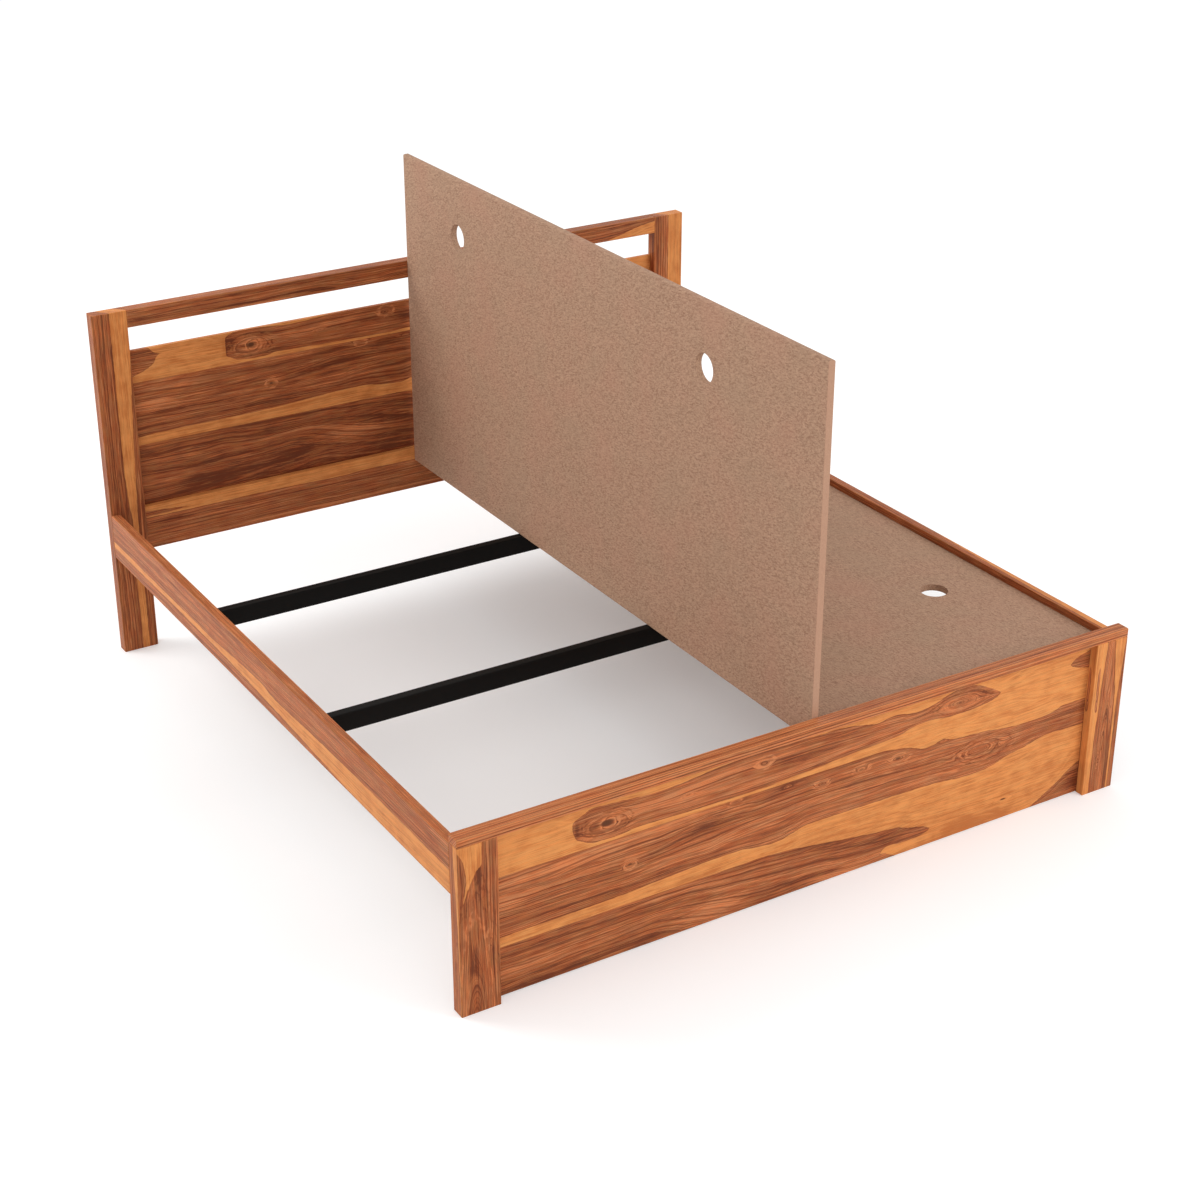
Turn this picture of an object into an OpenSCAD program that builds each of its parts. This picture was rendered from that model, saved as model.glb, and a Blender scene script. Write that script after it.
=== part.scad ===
// Wooden bed frame with a panelled footboard and a slotted headboard, side rails, two steel
// cross bars and two loose mattress boards. The left board stands on its long edge, as lifted.
// Millimetres. Origin on the floor under the middle; +X right seen from the foot, +Y to the head.

/* [Sleeping space] */
// Clear width between the side rails
inside_w = 1831; // [1500:1:2000]
// Clear length between the footboard and the headboard
inside_l = 1980; // [1850:1:2200]

/* [Headboard] */
// Height of the headboard posts
post_h = 1003; // [860:1:1250]
// Width of a headboard post across the bed
post_w = 99; // [80:1:130]
// Depth of a headboard post from front to back
post_d = 37; // [32:0.5:50]
// Height of the headboard's top rail
top_rail_h = 49.5; // [40:0.5:80]
// Height of the open slot under the top rail
slot_h = 75; // [40:1:150]
// Thickness of the headboard's bottom rail
bottom_rail_t = 29; // [22:0.5:32]
// Thickness of the headboard's planks
head_plank_t = 12; // [8:0.5:15]
// Width of the headboard's top plank
head_top_plank_w = 92.5; // [70:0.5:150]
// Width of the headboard's bottom plank
head_bottom_plank_w = 178; // [120:1:200]

/* [Footboard] */
// Width of a footboard leg across the bed
leg_w = 98; // [80:1:130]
// Depth of a footboard leg from front to back
leg_d = 37; // [32:0.5:50]
// How far the legs rise above the side rails
leg_rise = 2.5; // [0:0.5:60]
// Thickness of the cap rail on top of the legs
cap_t = 22.5; // [18:0.5:40]
// Thickness of the footboard's planks
foot_plank_t = 12; // [8:0.5:16]
// Width of the footboard's top plank
foot_top_plank_w = 119; // [80:1:150]
// Width of the footboard's bottom plank
foot_bottom_plank_w = 126.5; // [80:0.5:170]
// Gap between the footboard's panel and the floor
floor_gap = 2; // [0.5:0.5:20]

/* [Side rails] */
// Thickness of a side rail
rail_t = 24.5; // [22:0.5:36]
// Height of a side rail
rail_h = 127; // [115:1:160]
// Height of the side rails' underside above the floor
rail_under = 298; // [200:1:340]

/* [Cross bars and battens] */
// Width of a steel cross bar along the bed
bar_w = 25; // [20:1:40]
// Height of a steel cross bar
bar_h = 50; // [40:1:60]
// Wall of a steel cross bar
bar_wall = 2; // [1.2:0.1:3]
// Distance of the foot cross bar's middle from the footboard
foot_bar_at = 693; // [500:1:800]
// Distance of the head cross bar's middle from the headboard
head_bar_at = 632; // [450:1:800]
// Width of the battens on the side rails
batten_w = 25; // [18:1:40]
// Height of the battens on the side rails
batten_h = 25; // [18:1:28]

/* [Mattress boards] */
// Thickness of a mattress board
board_t = 18; // [15:0.5:24]
// How far the boards' top lies below the top of the side rails
board_drop = 17.5; // [5:0.5:25]
// Radius of the boards' rounded long edges
board_round = 4; // [2:0.5:7]
// Where the raised board's left face stands, right of the middle
board_split = 0; // [-60:1:60]
// Diameter of the finger holes
hole_d = 73; // [40:1:90]
// Distance between the two finger holes of a board
hole_pitch = 1200; // [600:10:1300]
// Left board: finger holes from its outer long edge
left_hole_in = 161.5; // [100:0.5:300]
// Left board: first finger hole from its foot end
left_hole_from_foot = 467; // [250:1:500]
// Right board: finger holes from its outer long edge
right_hole_in = 190; // [100:1:300]
// Right board: first finger hole from its foot end
right_hole_from_foot = 448; // [250:1:500]

/* [Wood joints] */
// Thickness of the headboard rails' tenons
tenon_t = 12; // [8:0.5:16]
// Length of the headboard rails' tenons
tenon_l = 30; // [20:1:45]
// Shoulder left above and below a tenon
tenon_shoulder = 9.5; // [6:0.5:16]
// Width of the rebates that hold the planks' ends
rebate_w = 15; // [12:0.5:25]
// Diameter of the cap rail's dowels
dowel_d = 8; // [6:0.5:12]
// Depth of a dowel in the cap rail
dowel_in_cap = 12; // [8:0.5:15]
// Depth of a dowel in the leg
dowel_in_leg = 26; // [15:1:40]
// Distance of a leg's outer dowel from its outer face
dowel_edge = 24; // [15:1:30]
// Distance between the two dowels of a leg
dowel_pitch = 50; // [30:1:52]

/* [Steel fixings] */
// Thickness of the corner brackets' plate
bracket_t = 3; // [2:0.5:5]
// Length of each arm of a corner bracket
bracket_arm = 40; // [34:1:50]
// Height of a corner bracket
bracket_h = 50; // [44:1:54]
// Distance between the two bolts in a bracket's arm
bracket_bolt_pitch = 26; // [22:1:28]
// Diameter of the corner bolts
bolt_d = 6; // [5:0.5:8]
// Length of a corner bolt's shank
bolt_l = 20; // [16:0.5:21]
// Outer diameter of the threaded inserts
insert_d = 10; // [9:0.5:12]
// Length of the threaded inserts
insert_l = 13; // [10:0.5:14]
// Thickness of the bar saddles' plate
saddle_t = 3; // [2:0.5:4]
// How far a bar saddle reaches out from the rail
saddle_reach = 25; // [22:1:35]
// Width of a bar saddle's screw ear
saddle_ear = 25; // [18:1:35]
// Height of the bolts through a cross bar above its underside
bar_bolt_rise = 12; // [9:0.5:18]
// How far a bolt stands out of its nut
bolt_past_nut = 2; // [1:0.5:6]
// Diameter of the wood screws
screw_d = 4.5; // [3.5:0.5:5]
// Head diameter of the wood screws
screw_head_d = 9; // [8:0.5:10]
// Length of the screws in the planks' ends
plank_screw_l = 28; // [20:1:30]
// Length of the screws in the battens
batten_screw_l = 40; // [32:1:42]
// Length of the screws in the saddles' ears
saddle_screw_l = 20; // [14:1:22]
// Widest spacing of the screws along a batten
batten_screw_pitch = 220; // [150:10:400]
// Distance of the planks' screws from the planks' edges
plank_screw_edge = 24; // [15:1:28]
// Distance of a batten's outer screws from its ends
batten_screw_edge = 40; // [25:1:80]
// Height of a pan head
pan_head_h = 2.5; // [1.5:0.1:3.5]

/* [Clearances] */
// Clearance of a board's edges to the frame round it
board_gap = 1; // [0.5:0.5:4]
// Clearance between a resting board and what carries it
seat_gap = 0.3; // [0.3:0.1:0.5]
// Clearance between the raised board and the right board
stand_gap = 0.5; // [0.4:0.1:3]
// Clearance round tenons, dowels and plank ends
glue_gap = 0.2; // [0.1:0.1:0.5]
// Clearance round screws, bolts and inserts
screw_gap = 0.15; // [0.1:0.05:0.4]
// Clearance of a cross bar in its saddle
saddle_gap = 0.5; // [0.2:0.1:1]
// Gap between battens, saddles and brackets
part_gap = 1; // [0.5:0.5:3]
// Bevel on the long edges of posts, legs and rails
arris = 1.5; // [0.5:0.1:2]

/* [Hidden] */

// Colours of the wood's brown and golden parts, the boards, the black steel and the zinc
brown = "#9A572D";
golden = "#C4843F";
board_colour = "#A98670";
black = "#201F1E";
zinc = "#B4B6B5";
dowel_colour = "#D9B88A";

// Smoothness of round solids
$fn = 48;

// Sides of the bed
LEFT = -1;
RIGHT = 1;

// Planes across the bed: inner and outer face of the right side rail
rail_in = inside_w / 2;
half_w = rail_in + rail_t;

// Planes along the bed: outer and inner face of the footboard and of the headboard
foot_out = -(leg_d + inside_l + post_d) / 2;
foot_in = foot_out + leg_d;
head_in = foot_in + inside_l;
head_out = head_in + post_d;

// Heights: top of the rails and legs, underside of the boards, top of what carries them
rail_top = rail_under + rail_h;
leg_h = rail_top + leg_rise;
board_under = rail_top - board_drop - board_t;
bar_top = board_under - seat_gap;
bar_under = bar_top - bar_h;
batten_under = bar_top - batten_h;

// Inner faces of the post and the leg, and how far the planks reach into their rebates
post_in = half_w - post_w;
leg_in = half_w - leg_w;
head_plank_end = post_in + rebate_w - glue_gap;
foot_plank_end = leg_in + rebate_w - glue_gap;

// Seams of the two panels, from the lowest edge to the highest
head_seams = [
  rail_top,
  rail_top + head_bottom_plank_w,
  post_h - top_rail_h - slot_h - head_top_plank_w,
  post_h - top_rail_h - slot_h
];
foot_seams = [
  floor_gap,
  floor_gap + foot_bottom_plank_w,
  leg_h - foot_top_plank_w,
  leg_h
];

// Cross bars along the bed, and half of a saddle's width
foot_bar_y = foot_in + foot_bar_at;
head_bar_y = head_in - head_bar_at;
saddle_half = bar_w / 2 + saddle_gap + saddle_t;
saddle_under = bar_under - saddle_t;
ear_top = batten_under - part_gap;

// Battens between the boards' ends and the saddles: lowest and highest Y of each
batten_foot = [foot_in + part_gap, foot_bar_y - saddle_half - part_gap];
batten_middle = [foot_bar_y + saddle_half + part_gap, head_bar_y - saddle_half - part_gap];
batten_head = [head_bar_y + saddle_half + part_gap, head_in - part_gap];

// Corner brackets: underside, and the bolts' place along each arm
bracket_under = batten_under - part_gap - bracket_h;
bracket_bolt_z = [
  bracket_under + (bracket_h - bracket_bolt_pitch) / 2,
  bracket_under + (bracket_h + bracket_bolt_pitch) / 2
];
bracket_bolt_in = (bracket_arm + bracket_t) / 2;

// Hexagon heads and nuts: width over the corners and height, as shares of the bolt's diameter
hex_over = 1.9 * bolt_d;
hex_head_h = 0.66 * bolt_d;
nut_h = 0.83 * bolt_d;
insert_hole = bolt_l - bracket_t + part_gap;

// Bolts through the saddles and bars: distance from the rail, height, and shank
bar_bolt_in = saddle_reach - hex_over / 2 - part_gap;
bar_bolt_z = bar_under + bar_bolt_rise;
bar_bolt_l = 2 * saddle_half + nut_h + bolt_past_nut;

// Finger holes run past both faces of a board by this much
cut_past = 1;

// Mattress boards: their ends, and the edges of the raised left board and of the right board
board_foot = foot_in + board_gap + seat_gap;
board_head = head_in - board_gap - seat_gap;
left_board_w = rail_in - board_gap + board_split + 2 * board_round;
right_board_from = board_split + board_t + stand_gap;
right_board_to = rail_in - board_gap;

// Parts are modelled on the right and mirrored for the left
module on_side(side) mirror([side < 0 ? 1 : 0, 0, 0]) children();

// Block between its lowest and its highest corner
module block(lo, hi) translate(lo) cube(hi - lo);

// Rectangle with bevelled corners
module eased_outline(w, h) {
  polygon([
    [arris, 0], [w - arris, 0], [w, arris], [w, h - arris],
    [w - arris, h], [arris, h], [0, h - arris], [0, arris]
  ]);
}

// Planed timber between two corners, with bevelled edges along X, Y or Z
module timber(lo, hi, along) {
  size = hi - lo;
  translate(lo) {
    if (along == "x")
      rotate([90, 0, 90]) linear_extrude(size.x) eased_outline(size.y, size.z);
    else if (along == "y")
      translate([0, size.y, 0]) rotate([90, 0, 0]) linear_extrude(size.y) eased_outline(size.x, size.z);
    else
      linear_extrude(size.z) eased_outline(size.x, size.y);
  }
}

// Turns the local Z axis, which points out of the screwed face, to a direction
module facing(direction) {
  if (direction == "-x") rotate([0, -90, 0]) children();
  if (direction == "+y") rotate([-90, 0, 0]) children();
  if (direction == "-y") rotate([90, 0, 0]) children();
}

// Countersunk wood screw, its head flush with the face at the origin; grow widens it to a hole
module flush_screw(length, grow) {
  r = screw_d / 2 + grow;
  head_r = screw_head_d / 2 + grow;
  top = grow > 0 ? cut_past : 0;
  rotate_extrude()
    polygon([
      [0, top], [head_r, top], [head_r, 0], [r, r - head_r],
      [r, r - length], [0, -length - grow]
    ]);
}

// Pan-head wood screw with its head standing on the face at the origin
module pan_screw(length) {
  r = screw_d / 2;
  head_r = screw_head_d / 2;
  rotate_extrude()
    polygon([
      [0, pan_head_h], [head_r * 0.6, pan_head_h], [head_r, pan_head_h * 0.45], [head_r, 0],
      [r, 0], [r, r - length], [0, -length]
    ]);
}

// Hexagon bolt with its head standing on the face at the origin
module hex_bolt(length) {
  cylinder(d = hex_over, h = hex_head_h, $fn = 6);
  translate([0, 0, -length]) cylinder(d = bolt_d, h = length);
}

// Round hole from the face at the origin into the part
module round_hole(d, depth) {
  translate([0, 0, -depth]) cylinder(d = d, h = depth + cut_past);
}

// Places of the screws in one plank's end: two heights near its edges
function plank_screw_z(lo, hi) = [lo + plank_screw_edge, hi - plank_screw_edge];

// Places of the screws along a batten, evenly spaced
function batten_screw_y(span) =
  let (
    from = span[0] + batten_screw_edge,
    to = span[1] - batten_screw_edge,
    gaps = max(1, ceil((to - from) / batten_screw_pitch))
  )
  [for (i = [0:gaps]) from + (to - from) * i / gaps];

// Right half of the headboard's screws, or their holes
module head_plank_screw_set(grow) {
  for (i = [0:2])
    for (z = plank_screw_z(head_seams[i], head_seams[i + 1]))
      translate([post_in + rebate_w / 2, head_out, z]) facing("+y") flush_screw(plank_screw_l, grow);
}

// Right half of the footboard's screws, or their holes
module foot_plank_screw_set(grow) {
  for (i = [0:2])
    for (z = plank_screw_z(foot_seams[i], foot_seams[i + 1]))
      translate([leg_in + rebate_w / 2, foot_in, z]) facing("+y") flush_screw(plank_screw_l, grow);
}

// Screws of the battens on the right rail, or their holes
module batten_screw_set(grow) {
  for (span = [batten_foot, batten_middle, batten_head])
    for (y = batten_screw_y(span))
      translate([rail_in - batten_w, y, (batten_under + bar_top) / 2])
        facing("-x") flush_screw(batten_screw_l, grow);
}

// Places of one saddle's four screws in the right rail
module at_saddle_screws(bar_y) {
  ear_mid = saddle_half + saddle_ear / 2;
  ear_z = (saddle_under + ear_top) / 2;
  for (dy = [-ear_mid, ear_mid])
    for (dz = [-1, 1])
      translate([rail_in - saddle_t, bar_y + dy, ear_z + dz * (ear_top - saddle_under) / 4])
        facing("-x") children();
}

// Places of the bolts in the right side rail: on the inner face near each end
module at_rail_bolts() {
  for (y = [foot_in + bracket_bolt_in, head_in - bracket_bolt_in])
    for (z = bracket_bolt_z)
      translate([rail_in, y, z]) facing("-x") children();
}

// Places of the bolts in the headboard post's front face and in the footboard leg's back face
module at_post_bolts() {
  for (z = bracket_bolt_z)
    translate([rail_in - bracket_bolt_in, head_in, z]) facing("-y") children();
}
module at_leg_bolts() {
  for (z = bracket_bolt_z)
    translate([rail_in - bracket_bolt_in, foot_in, z]) facing("+y") children();
}

// Places of the two dowels on the right leg
module at_dowels() {
  for (from_end = [dowel_edge, dowel_edge + dowel_pitch])
    translate([half_w - from_end, foot_out + leg_d / 2, leg_h]) children();
}

// Tenon or mortise block of the headboard's rails at the right post; grow is 0 for the tenon
module top_rail_tenon(grow) {
  y = head_in + post_d / 2;
  block(
    [post_in - cut_past * sign(grow), y - tenon_t / 2 - grow, post_h - top_rail_h + tenon_shoulder - grow],
    [post_in + tenon_l + grow, y + tenon_t / 2 + grow, post_h - tenon_shoulder + grow]
  );
}
module bottom_rail_tenon(grow) {
  y = head_out - bottom_rail_t / 2;
  block(
    [post_in - cut_past * sign(grow), y - tenon_t / 2 - grow, rail_under + 2 * tenon_shoulder - grow],
    [post_in + tenon_l + grow, y + tenon_t / 2 + grow, rail_top - 2 * tenon_shoulder + grow]
  );
}

// Headboard post: mortised for both rails, rebated at the back for the planks
module headboard_post(side) {
  on_side(side) color(brown) difference() {
    timber([post_in, head_in, 0], [half_w, head_out, post_h], "z");
    block(
      [post_in - cut_past, head_out - head_plank_t, rail_top],
      [post_in + rebate_w, head_out + cut_past, head_seams[3]]
    );
    top_rail_tenon(glue_gap);
    bottom_rail_tenon(glue_gap);
    at_post_bolts() round_hole(insert_d, insert_hole);
    head_plank_screw_set(screw_gap);
  }
}
module headboard_post_left() headboard_post(LEFT);
module headboard_post_right() headboard_post(RIGHT);

// Headboard top rail: flush with the posts' fronts, backs and tops
module headboard_top_rail() color(brown) {
  timber([-post_in, head_in, post_h - top_rail_h], [post_in, head_out, post_h], "x");
  on_side(LEFT) top_rail_tenon(0);
  on_side(RIGHT) top_rail_tenon(0);
}

// Headboard bottom rail: flush with the posts' backs, level with the side rails
module headboard_bottom_rail() color(golden) {
  timber([-post_in, head_out - bottom_rail_t, rail_under], [post_in, head_out, rail_top], "x");
  on_side(LEFT) bottom_rail_tenon(0);
  on_side(RIGHT) bottom_rail_tenon(0);
}

// Headboard plank between two seams, its ends screwed into the posts' rebates
module headboard_plank(i, tone) color(tone) difference() {
  block(
    [-head_plank_end, head_out - head_plank_t, head_seams[i]],
    [head_plank_end, head_out, head_seams[i + 1]]
  );
  on_side(LEFT) head_plank_screw_set(screw_gap);
  on_side(RIGHT) head_plank_screw_set(screw_gap);
}
module headboard_plank_bottom() headboard_plank(0, brown);
module headboard_plank_middle() headboard_plank(1, brown);
module headboard_plank_top() headboard_plank(2, golden);

// Footboard leg: rebated at the back for the planks, drilled for the cap's dowels
module footboard_leg(side) {
  on_side(side) color(brown) difference() {
    timber([leg_in, foot_out, 0], [half_w, foot_in, leg_h], "z");
    block(
      [leg_in - cut_past, foot_in - foot_plank_t, -cut_past],
      [leg_in + rebate_w, foot_in + cut_past, leg_h + cut_past]
    );
    at_dowels() round_hole(dowel_d + 2 * glue_gap, dowel_in_leg + part_gap);
    at_leg_bolts() round_hole(insert_d, insert_hole);
    foot_plank_screw_set(screw_gap);
  }
}
module footboard_leg_left() footboard_leg(LEFT);
module footboard_leg_right() footboard_leg(RIGHT);

// Cap rail: lies on both legs and on the panel's top edge
module footboard_cap_rail() color(golden) difference() {
  timber([-half_w, foot_out, leg_h], [half_w, foot_in, leg_h + cap_t], "x");
  for (side = [LEFT, RIGHT])
    on_side(side) at_dowels() mirror([0, 0, 1])
      round_hole(dowel_d + 2 * glue_gap, dowel_in_cap + part_gap);
}

// Footboard plank between two seams, its ends screwed into the legs' rebates
module footboard_plank(i, tone) color(tone) difference() {
  block(
    [-foot_plank_end, foot_in - foot_plank_t, foot_seams[i]],
    [foot_plank_end, foot_in, foot_seams[i + 1]]
  );
  on_side(LEFT) foot_plank_screw_set(screw_gap);
  on_side(RIGHT) foot_plank_screw_set(screw_gap);
}
module footboard_plank_bottom() footboard_plank(0, brown);
module footboard_plank_middle() footboard_plank(1, brown);
module footboard_plank_top() footboard_plank(2, golden);

// Side rail: butts between the leg and the post, flush with their outer faces
module side_rail(side) {
  on_side(side) color(brown) difference() {
    timber([rail_in, foot_in, rail_under], [half_w, head_in, rail_top], "y");
    at_rail_bolts() round_hole(insert_d, insert_hole);
    batten_screw_set(screw_gap);
    for (y = [foot_bar_y, head_bar_y])
      at_saddle_screws(y) round_hole(screw_d + 2 * screw_gap, saddle_screw_l + screw_gap);
  }
}
module side_rail_left() side_rail(LEFT);
module side_rail_right() side_rail(RIGHT);

// Batten: strip screwed to a side rail's inner face, level with the cross bars' tops
module batten(side, span) {
  on_side(side) color(golden) difference() {
    block([rail_in - batten_w, span[0], batten_under], [rail_in, span[1], bar_top]);
    batten_screw_set(screw_gap);
  }
}
module batten_left_foot() batten(LEFT, batten_foot);
module batten_left_middle() batten(LEFT, batten_middle);
module batten_left_head() batten(LEFT, batten_head);
module batten_right_foot() batten(RIGHT, batten_foot);
module batten_right_middle() batten(RIGHT, batten_middle);
module batten_right_head() batten(RIGHT, batten_head);

// Cross bar: rectangular steel tube from saddle to saddle, drilled for its bolts
module cross_bar(bar_y) color(black) {
  end_x = rail_in - saddle_t - part_gap;
  difference() {
    block([-end_x, bar_y - bar_w / 2, bar_under], [end_x, bar_y + bar_w / 2, bar_top]);
    block(
      [-half_w, bar_y - bar_w / 2 + bar_wall, bar_under + bar_wall],
      [half_w, bar_y + bar_w / 2 - bar_wall, bar_top - bar_wall]
    );
    for (side = [LEFT, RIGHT]) on_side(side) at_bar_bolt(bar_y) bar_bolt_hole();
  }
}
module cross_bar_foot() cross_bar(foot_bar_y);
module cross_bar_head() cross_bar(head_bar_y);

// Place of the bolt through a saddle: on the saddle's face towards the foot
module at_bar_bolt(bar_y) {
  translate([rail_in - bar_bolt_in, bar_y - saddle_half, bar_bolt_z]) facing("-y") children();
}
module bar_bolt_hole() round_hole(bolt_d + 2 * screw_gap, 2 * saddle_half + cut_past);

// Bar saddle: bent plate with a floor, two cheeks, a back and two screw ears
module bar_saddle(side, bar_y) {
  on_side(side) color(black) difference() {
    union() {
      block(
        [rail_in - saddle_reach, bar_y - saddle_half, saddle_under],
        [rail_in, bar_y + saddle_half, bar_top - part_gap]
      );
      block(
        [rail_in - saddle_t, bar_y - saddle_half - saddle_ear, saddle_under],
        [rail_in, bar_y + saddle_half + saddle_ear, ear_top]
      );
    }
    block(
      [rail_in - saddle_reach - cut_past, bar_y - saddle_half + saddle_t, bar_under],
      [rail_in - saddle_t, bar_y + saddle_half - saddle_t, bar_top]
    );
    at_saddle_screws(bar_y) round_hole(screw_d + 2 * screw_gap, saddle_t + cut_past);
    at_bar_bolt(bar_y) bar_bolt_hole();
  }
}
module bar_saddle_foot_left() bar_saddle(LEFT, foot_bar_y);
module bar_saddle_foot_right() bar_saddle(RIGHT, foot_bar_y);
module bar_saddle_head_left() bar_saddle(LEFT, head_bar_y);
module bar_saddle_head_right() bar_saddle(RIGHT, head_bar_y);

// Corner bracket: angle plate bolted to a side rail and to the post or leg at its end
module corner_bracket(side, corner_y, inward) {
  arm_y = [corner_y, corner_y + inward * bracket_arm];
  plate_y = [corner_y, corner_y + inward * bracket_t];
  on_side(side) color(black) difference() {
    union() {
      block(
        [rail_in - bracket_t, min(arm_y), bracket_under],
        [rail_in, max(arm_y), bracket_under + bracket_h]
      );
      block(
        [rail_in - bracket_arm, min(plate_y), bracket_under],
        [rail_in, max(plate_y), bracket_under + bracket_h]
      );
    }
    at_rail_bolts() bracket_hole();
    at_post_bolts() bracket_hole();
    at_leg_bolts() bracket_hole();
  }
}
module bracket_hole() cylinder(d = bolt_d + 2 * screw_gap, h = 3 * bracket_t, center = true);
module corner_bracket_foot_left() corner_bracket(LEFT, foot_in, 1);
module corner_bracket_foot_right() corner_bracket(RIGHT, foot_in, 1);
module corner_bracket_head_left() corner_bracket(LEFT, head_in, -1);
module corner_bracket_head_right() corner_bracket(RIGHT, head_in, -1);

// Corner bolts: sixteen hexagon bolts, four in each bracket
module corner_bolts() color(zinc)
  for (side = [LEFT, RIGHT]) on_side(side) {
    at_rail_bolts() translate([0, 0, bracket_t]) hex_bolt(bolt_l);
    at_post_bolts() translate([0, 0, bracket_t]) hex_bolt(bolt_l);
    at_leg_bolts() translate([0, 0, bracket_t]) hex_bolt(bolt_l);
  }

// Threaded insert sunk flush in the wood at the origin
module threaded_insert() {
  translate([0, 0, -insert_l]) difference() {
    cylinder(d = insert_d, h = insert_l);
    translate([0, 0, -cut_past]) cylinder(d = bolt_d + 2 * screw_gap, h = insert_l + 2 * cut_past);
  }
}
module corner_inserts() color(zinc)
  for (side = [LEFT, RIGHT]) on_side(side) {
    at_rail_bolts() threaded_insert();
    at_post_bolts() threaded_insert();
    at_leg_bolts() threaded_insert();
  }

// Bar bolts and their nuts: one through each saddle and the bar in it
module bar_bolts() color(zinc)
  for (side = [LEFT, RIGHT], y = [foot_bar_y, head_bar_y])
    on_side(side) at_bar_bolt(y) hex_bolt(bar_bolt_l);
module bar_nuts() color(zinc)
  for (side = [LEFT, RIGHT], y = [foot_bar_y, head_bar_y])
    on_side(side) at_bar_bolt(y) translate([0, 0, -2 * saddle_half - nut_h]) difference() {
      cylinder(d = hex_over, h = nut_h, $fn = 6);
      translate([0, 0, -cut_past]) cylinder(d = bolt_d + 2 * screw_gap, h = nut_h + 2 * cut_past);
    }

// Wood screws of the two panels, the battens and the saddles
module headboard_plank_screws() color(zinc)
  for (side = [LEFT, RIGHT]) on_side(side) head_plank_screw_set(0);
module footboard_plank_screws() color(zinc)
  for (side = [LEFT, RIGHT]) on_side(side) foot_plank_screw_set(0);
module batten_screws() color(zinc)
  for (side = [LEFT, RIGHT]) on_side(side) batten_screw_set(0);
module saddle_screws() color(zinc)
  for (side = [LEFT, RIGHT], y = [foot_bar_y, head_bar_y])
    on_side(side) at_saddle_screws(y) pan_screw(saddle_screw_l);

// Dowels between the legs and the cap rail
module cap_dowels() color(dowel_colour)
  for (side = [LEFT, RIGHT]) on_side(side)
    at_dowels() translate([0, 0, -dowel_in_leg]) cylinder(d = dowel_d, h = dowel_in_leg + dowel_in_cap);

// Board outline across its length, with rounded long edges
module board_outline(w) {
  translate([board_round, 0]) square([w - 2 * board_round, board_t]);
  translate([0, board_round]) square([w, board_t - 2 * board_round]);
  for (u = [board_round, w - board_round])
    for (v = [board_round, board_t - board_round])
      translate([u, v]) circle(r = board_round);
}

// Board lying flat from the origin towards +X and +Y, its two finger holes at a distance in
module flat_board(w, hole_x, hole_from_foot) color(board_colour) difference() {
  length = board_head - board_foot;
  translate([0, length, 0]) rotate([90, 0, 0]) linear_extrude(length) board_outline(w);
  for (y = [hole_from_foot, hole_from_foot + hole_pitch])
    translate([hole_x, y, -cut_past]) cylinder(d = hole_d, h = board_t + 2 * cut_past);
}

// Left board: stands upright on its inner long edge beside the right board, ready to be laid down
module mattress_board_left() {
  translate([board_split, board_foot, board_under]) translate([board_t, 0, 0]) rotate([0, -90, 0])
    flat_board(left_board_w, left_board_w - left_hole_in, left_hole_from_foot);
}

// Right board: lies on the battens and cross bars
module mattress_board_right() {
  w = right_board_to - right_board_from;
  translate([right_board_from, board_foot, board_under])
    flat_board(w, w - right_hole_in, right_hole_from_foot);
}

headboard_post_left();
headboard_post_right();
headboard_top_rail();
headboard_bottom_rail();
headboard_plank_top();
headboard_plank_middle();
headboard_plank_bottom();
footboard_leg_left();
footboard_leg_right();
footboard_cap_rail();
footboard_plank_top();
footboard_plank_middle();
footboard_plank_bottom();
side_rail_left();
side_rail_right();
batten_left_foot();
batten_left_middle();
batten_left_head();
batten_right_foot();
batten_right_middle();
batten_right_head();
cross_bar_foot();
cross_bar_head();
bar_saddle_foot_left();
bar_saddle_foot_right();
bar_saddle_head_left();
bar_saddle_head_right();
corner_bracket_foot_left();
corner_bracket_foot_right();
corner_bracket_head_left();
corner_bracket_head_right();
corner_bolts();
corner_inserts();
bar_bolts();
bar_nuts();
headboard_plank_screws();
footboard_plank_screws();
batten_screws();
saddle_screws();
cap_dowels();
mattress_board_left();
mattress_board_right();
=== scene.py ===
import math

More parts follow.
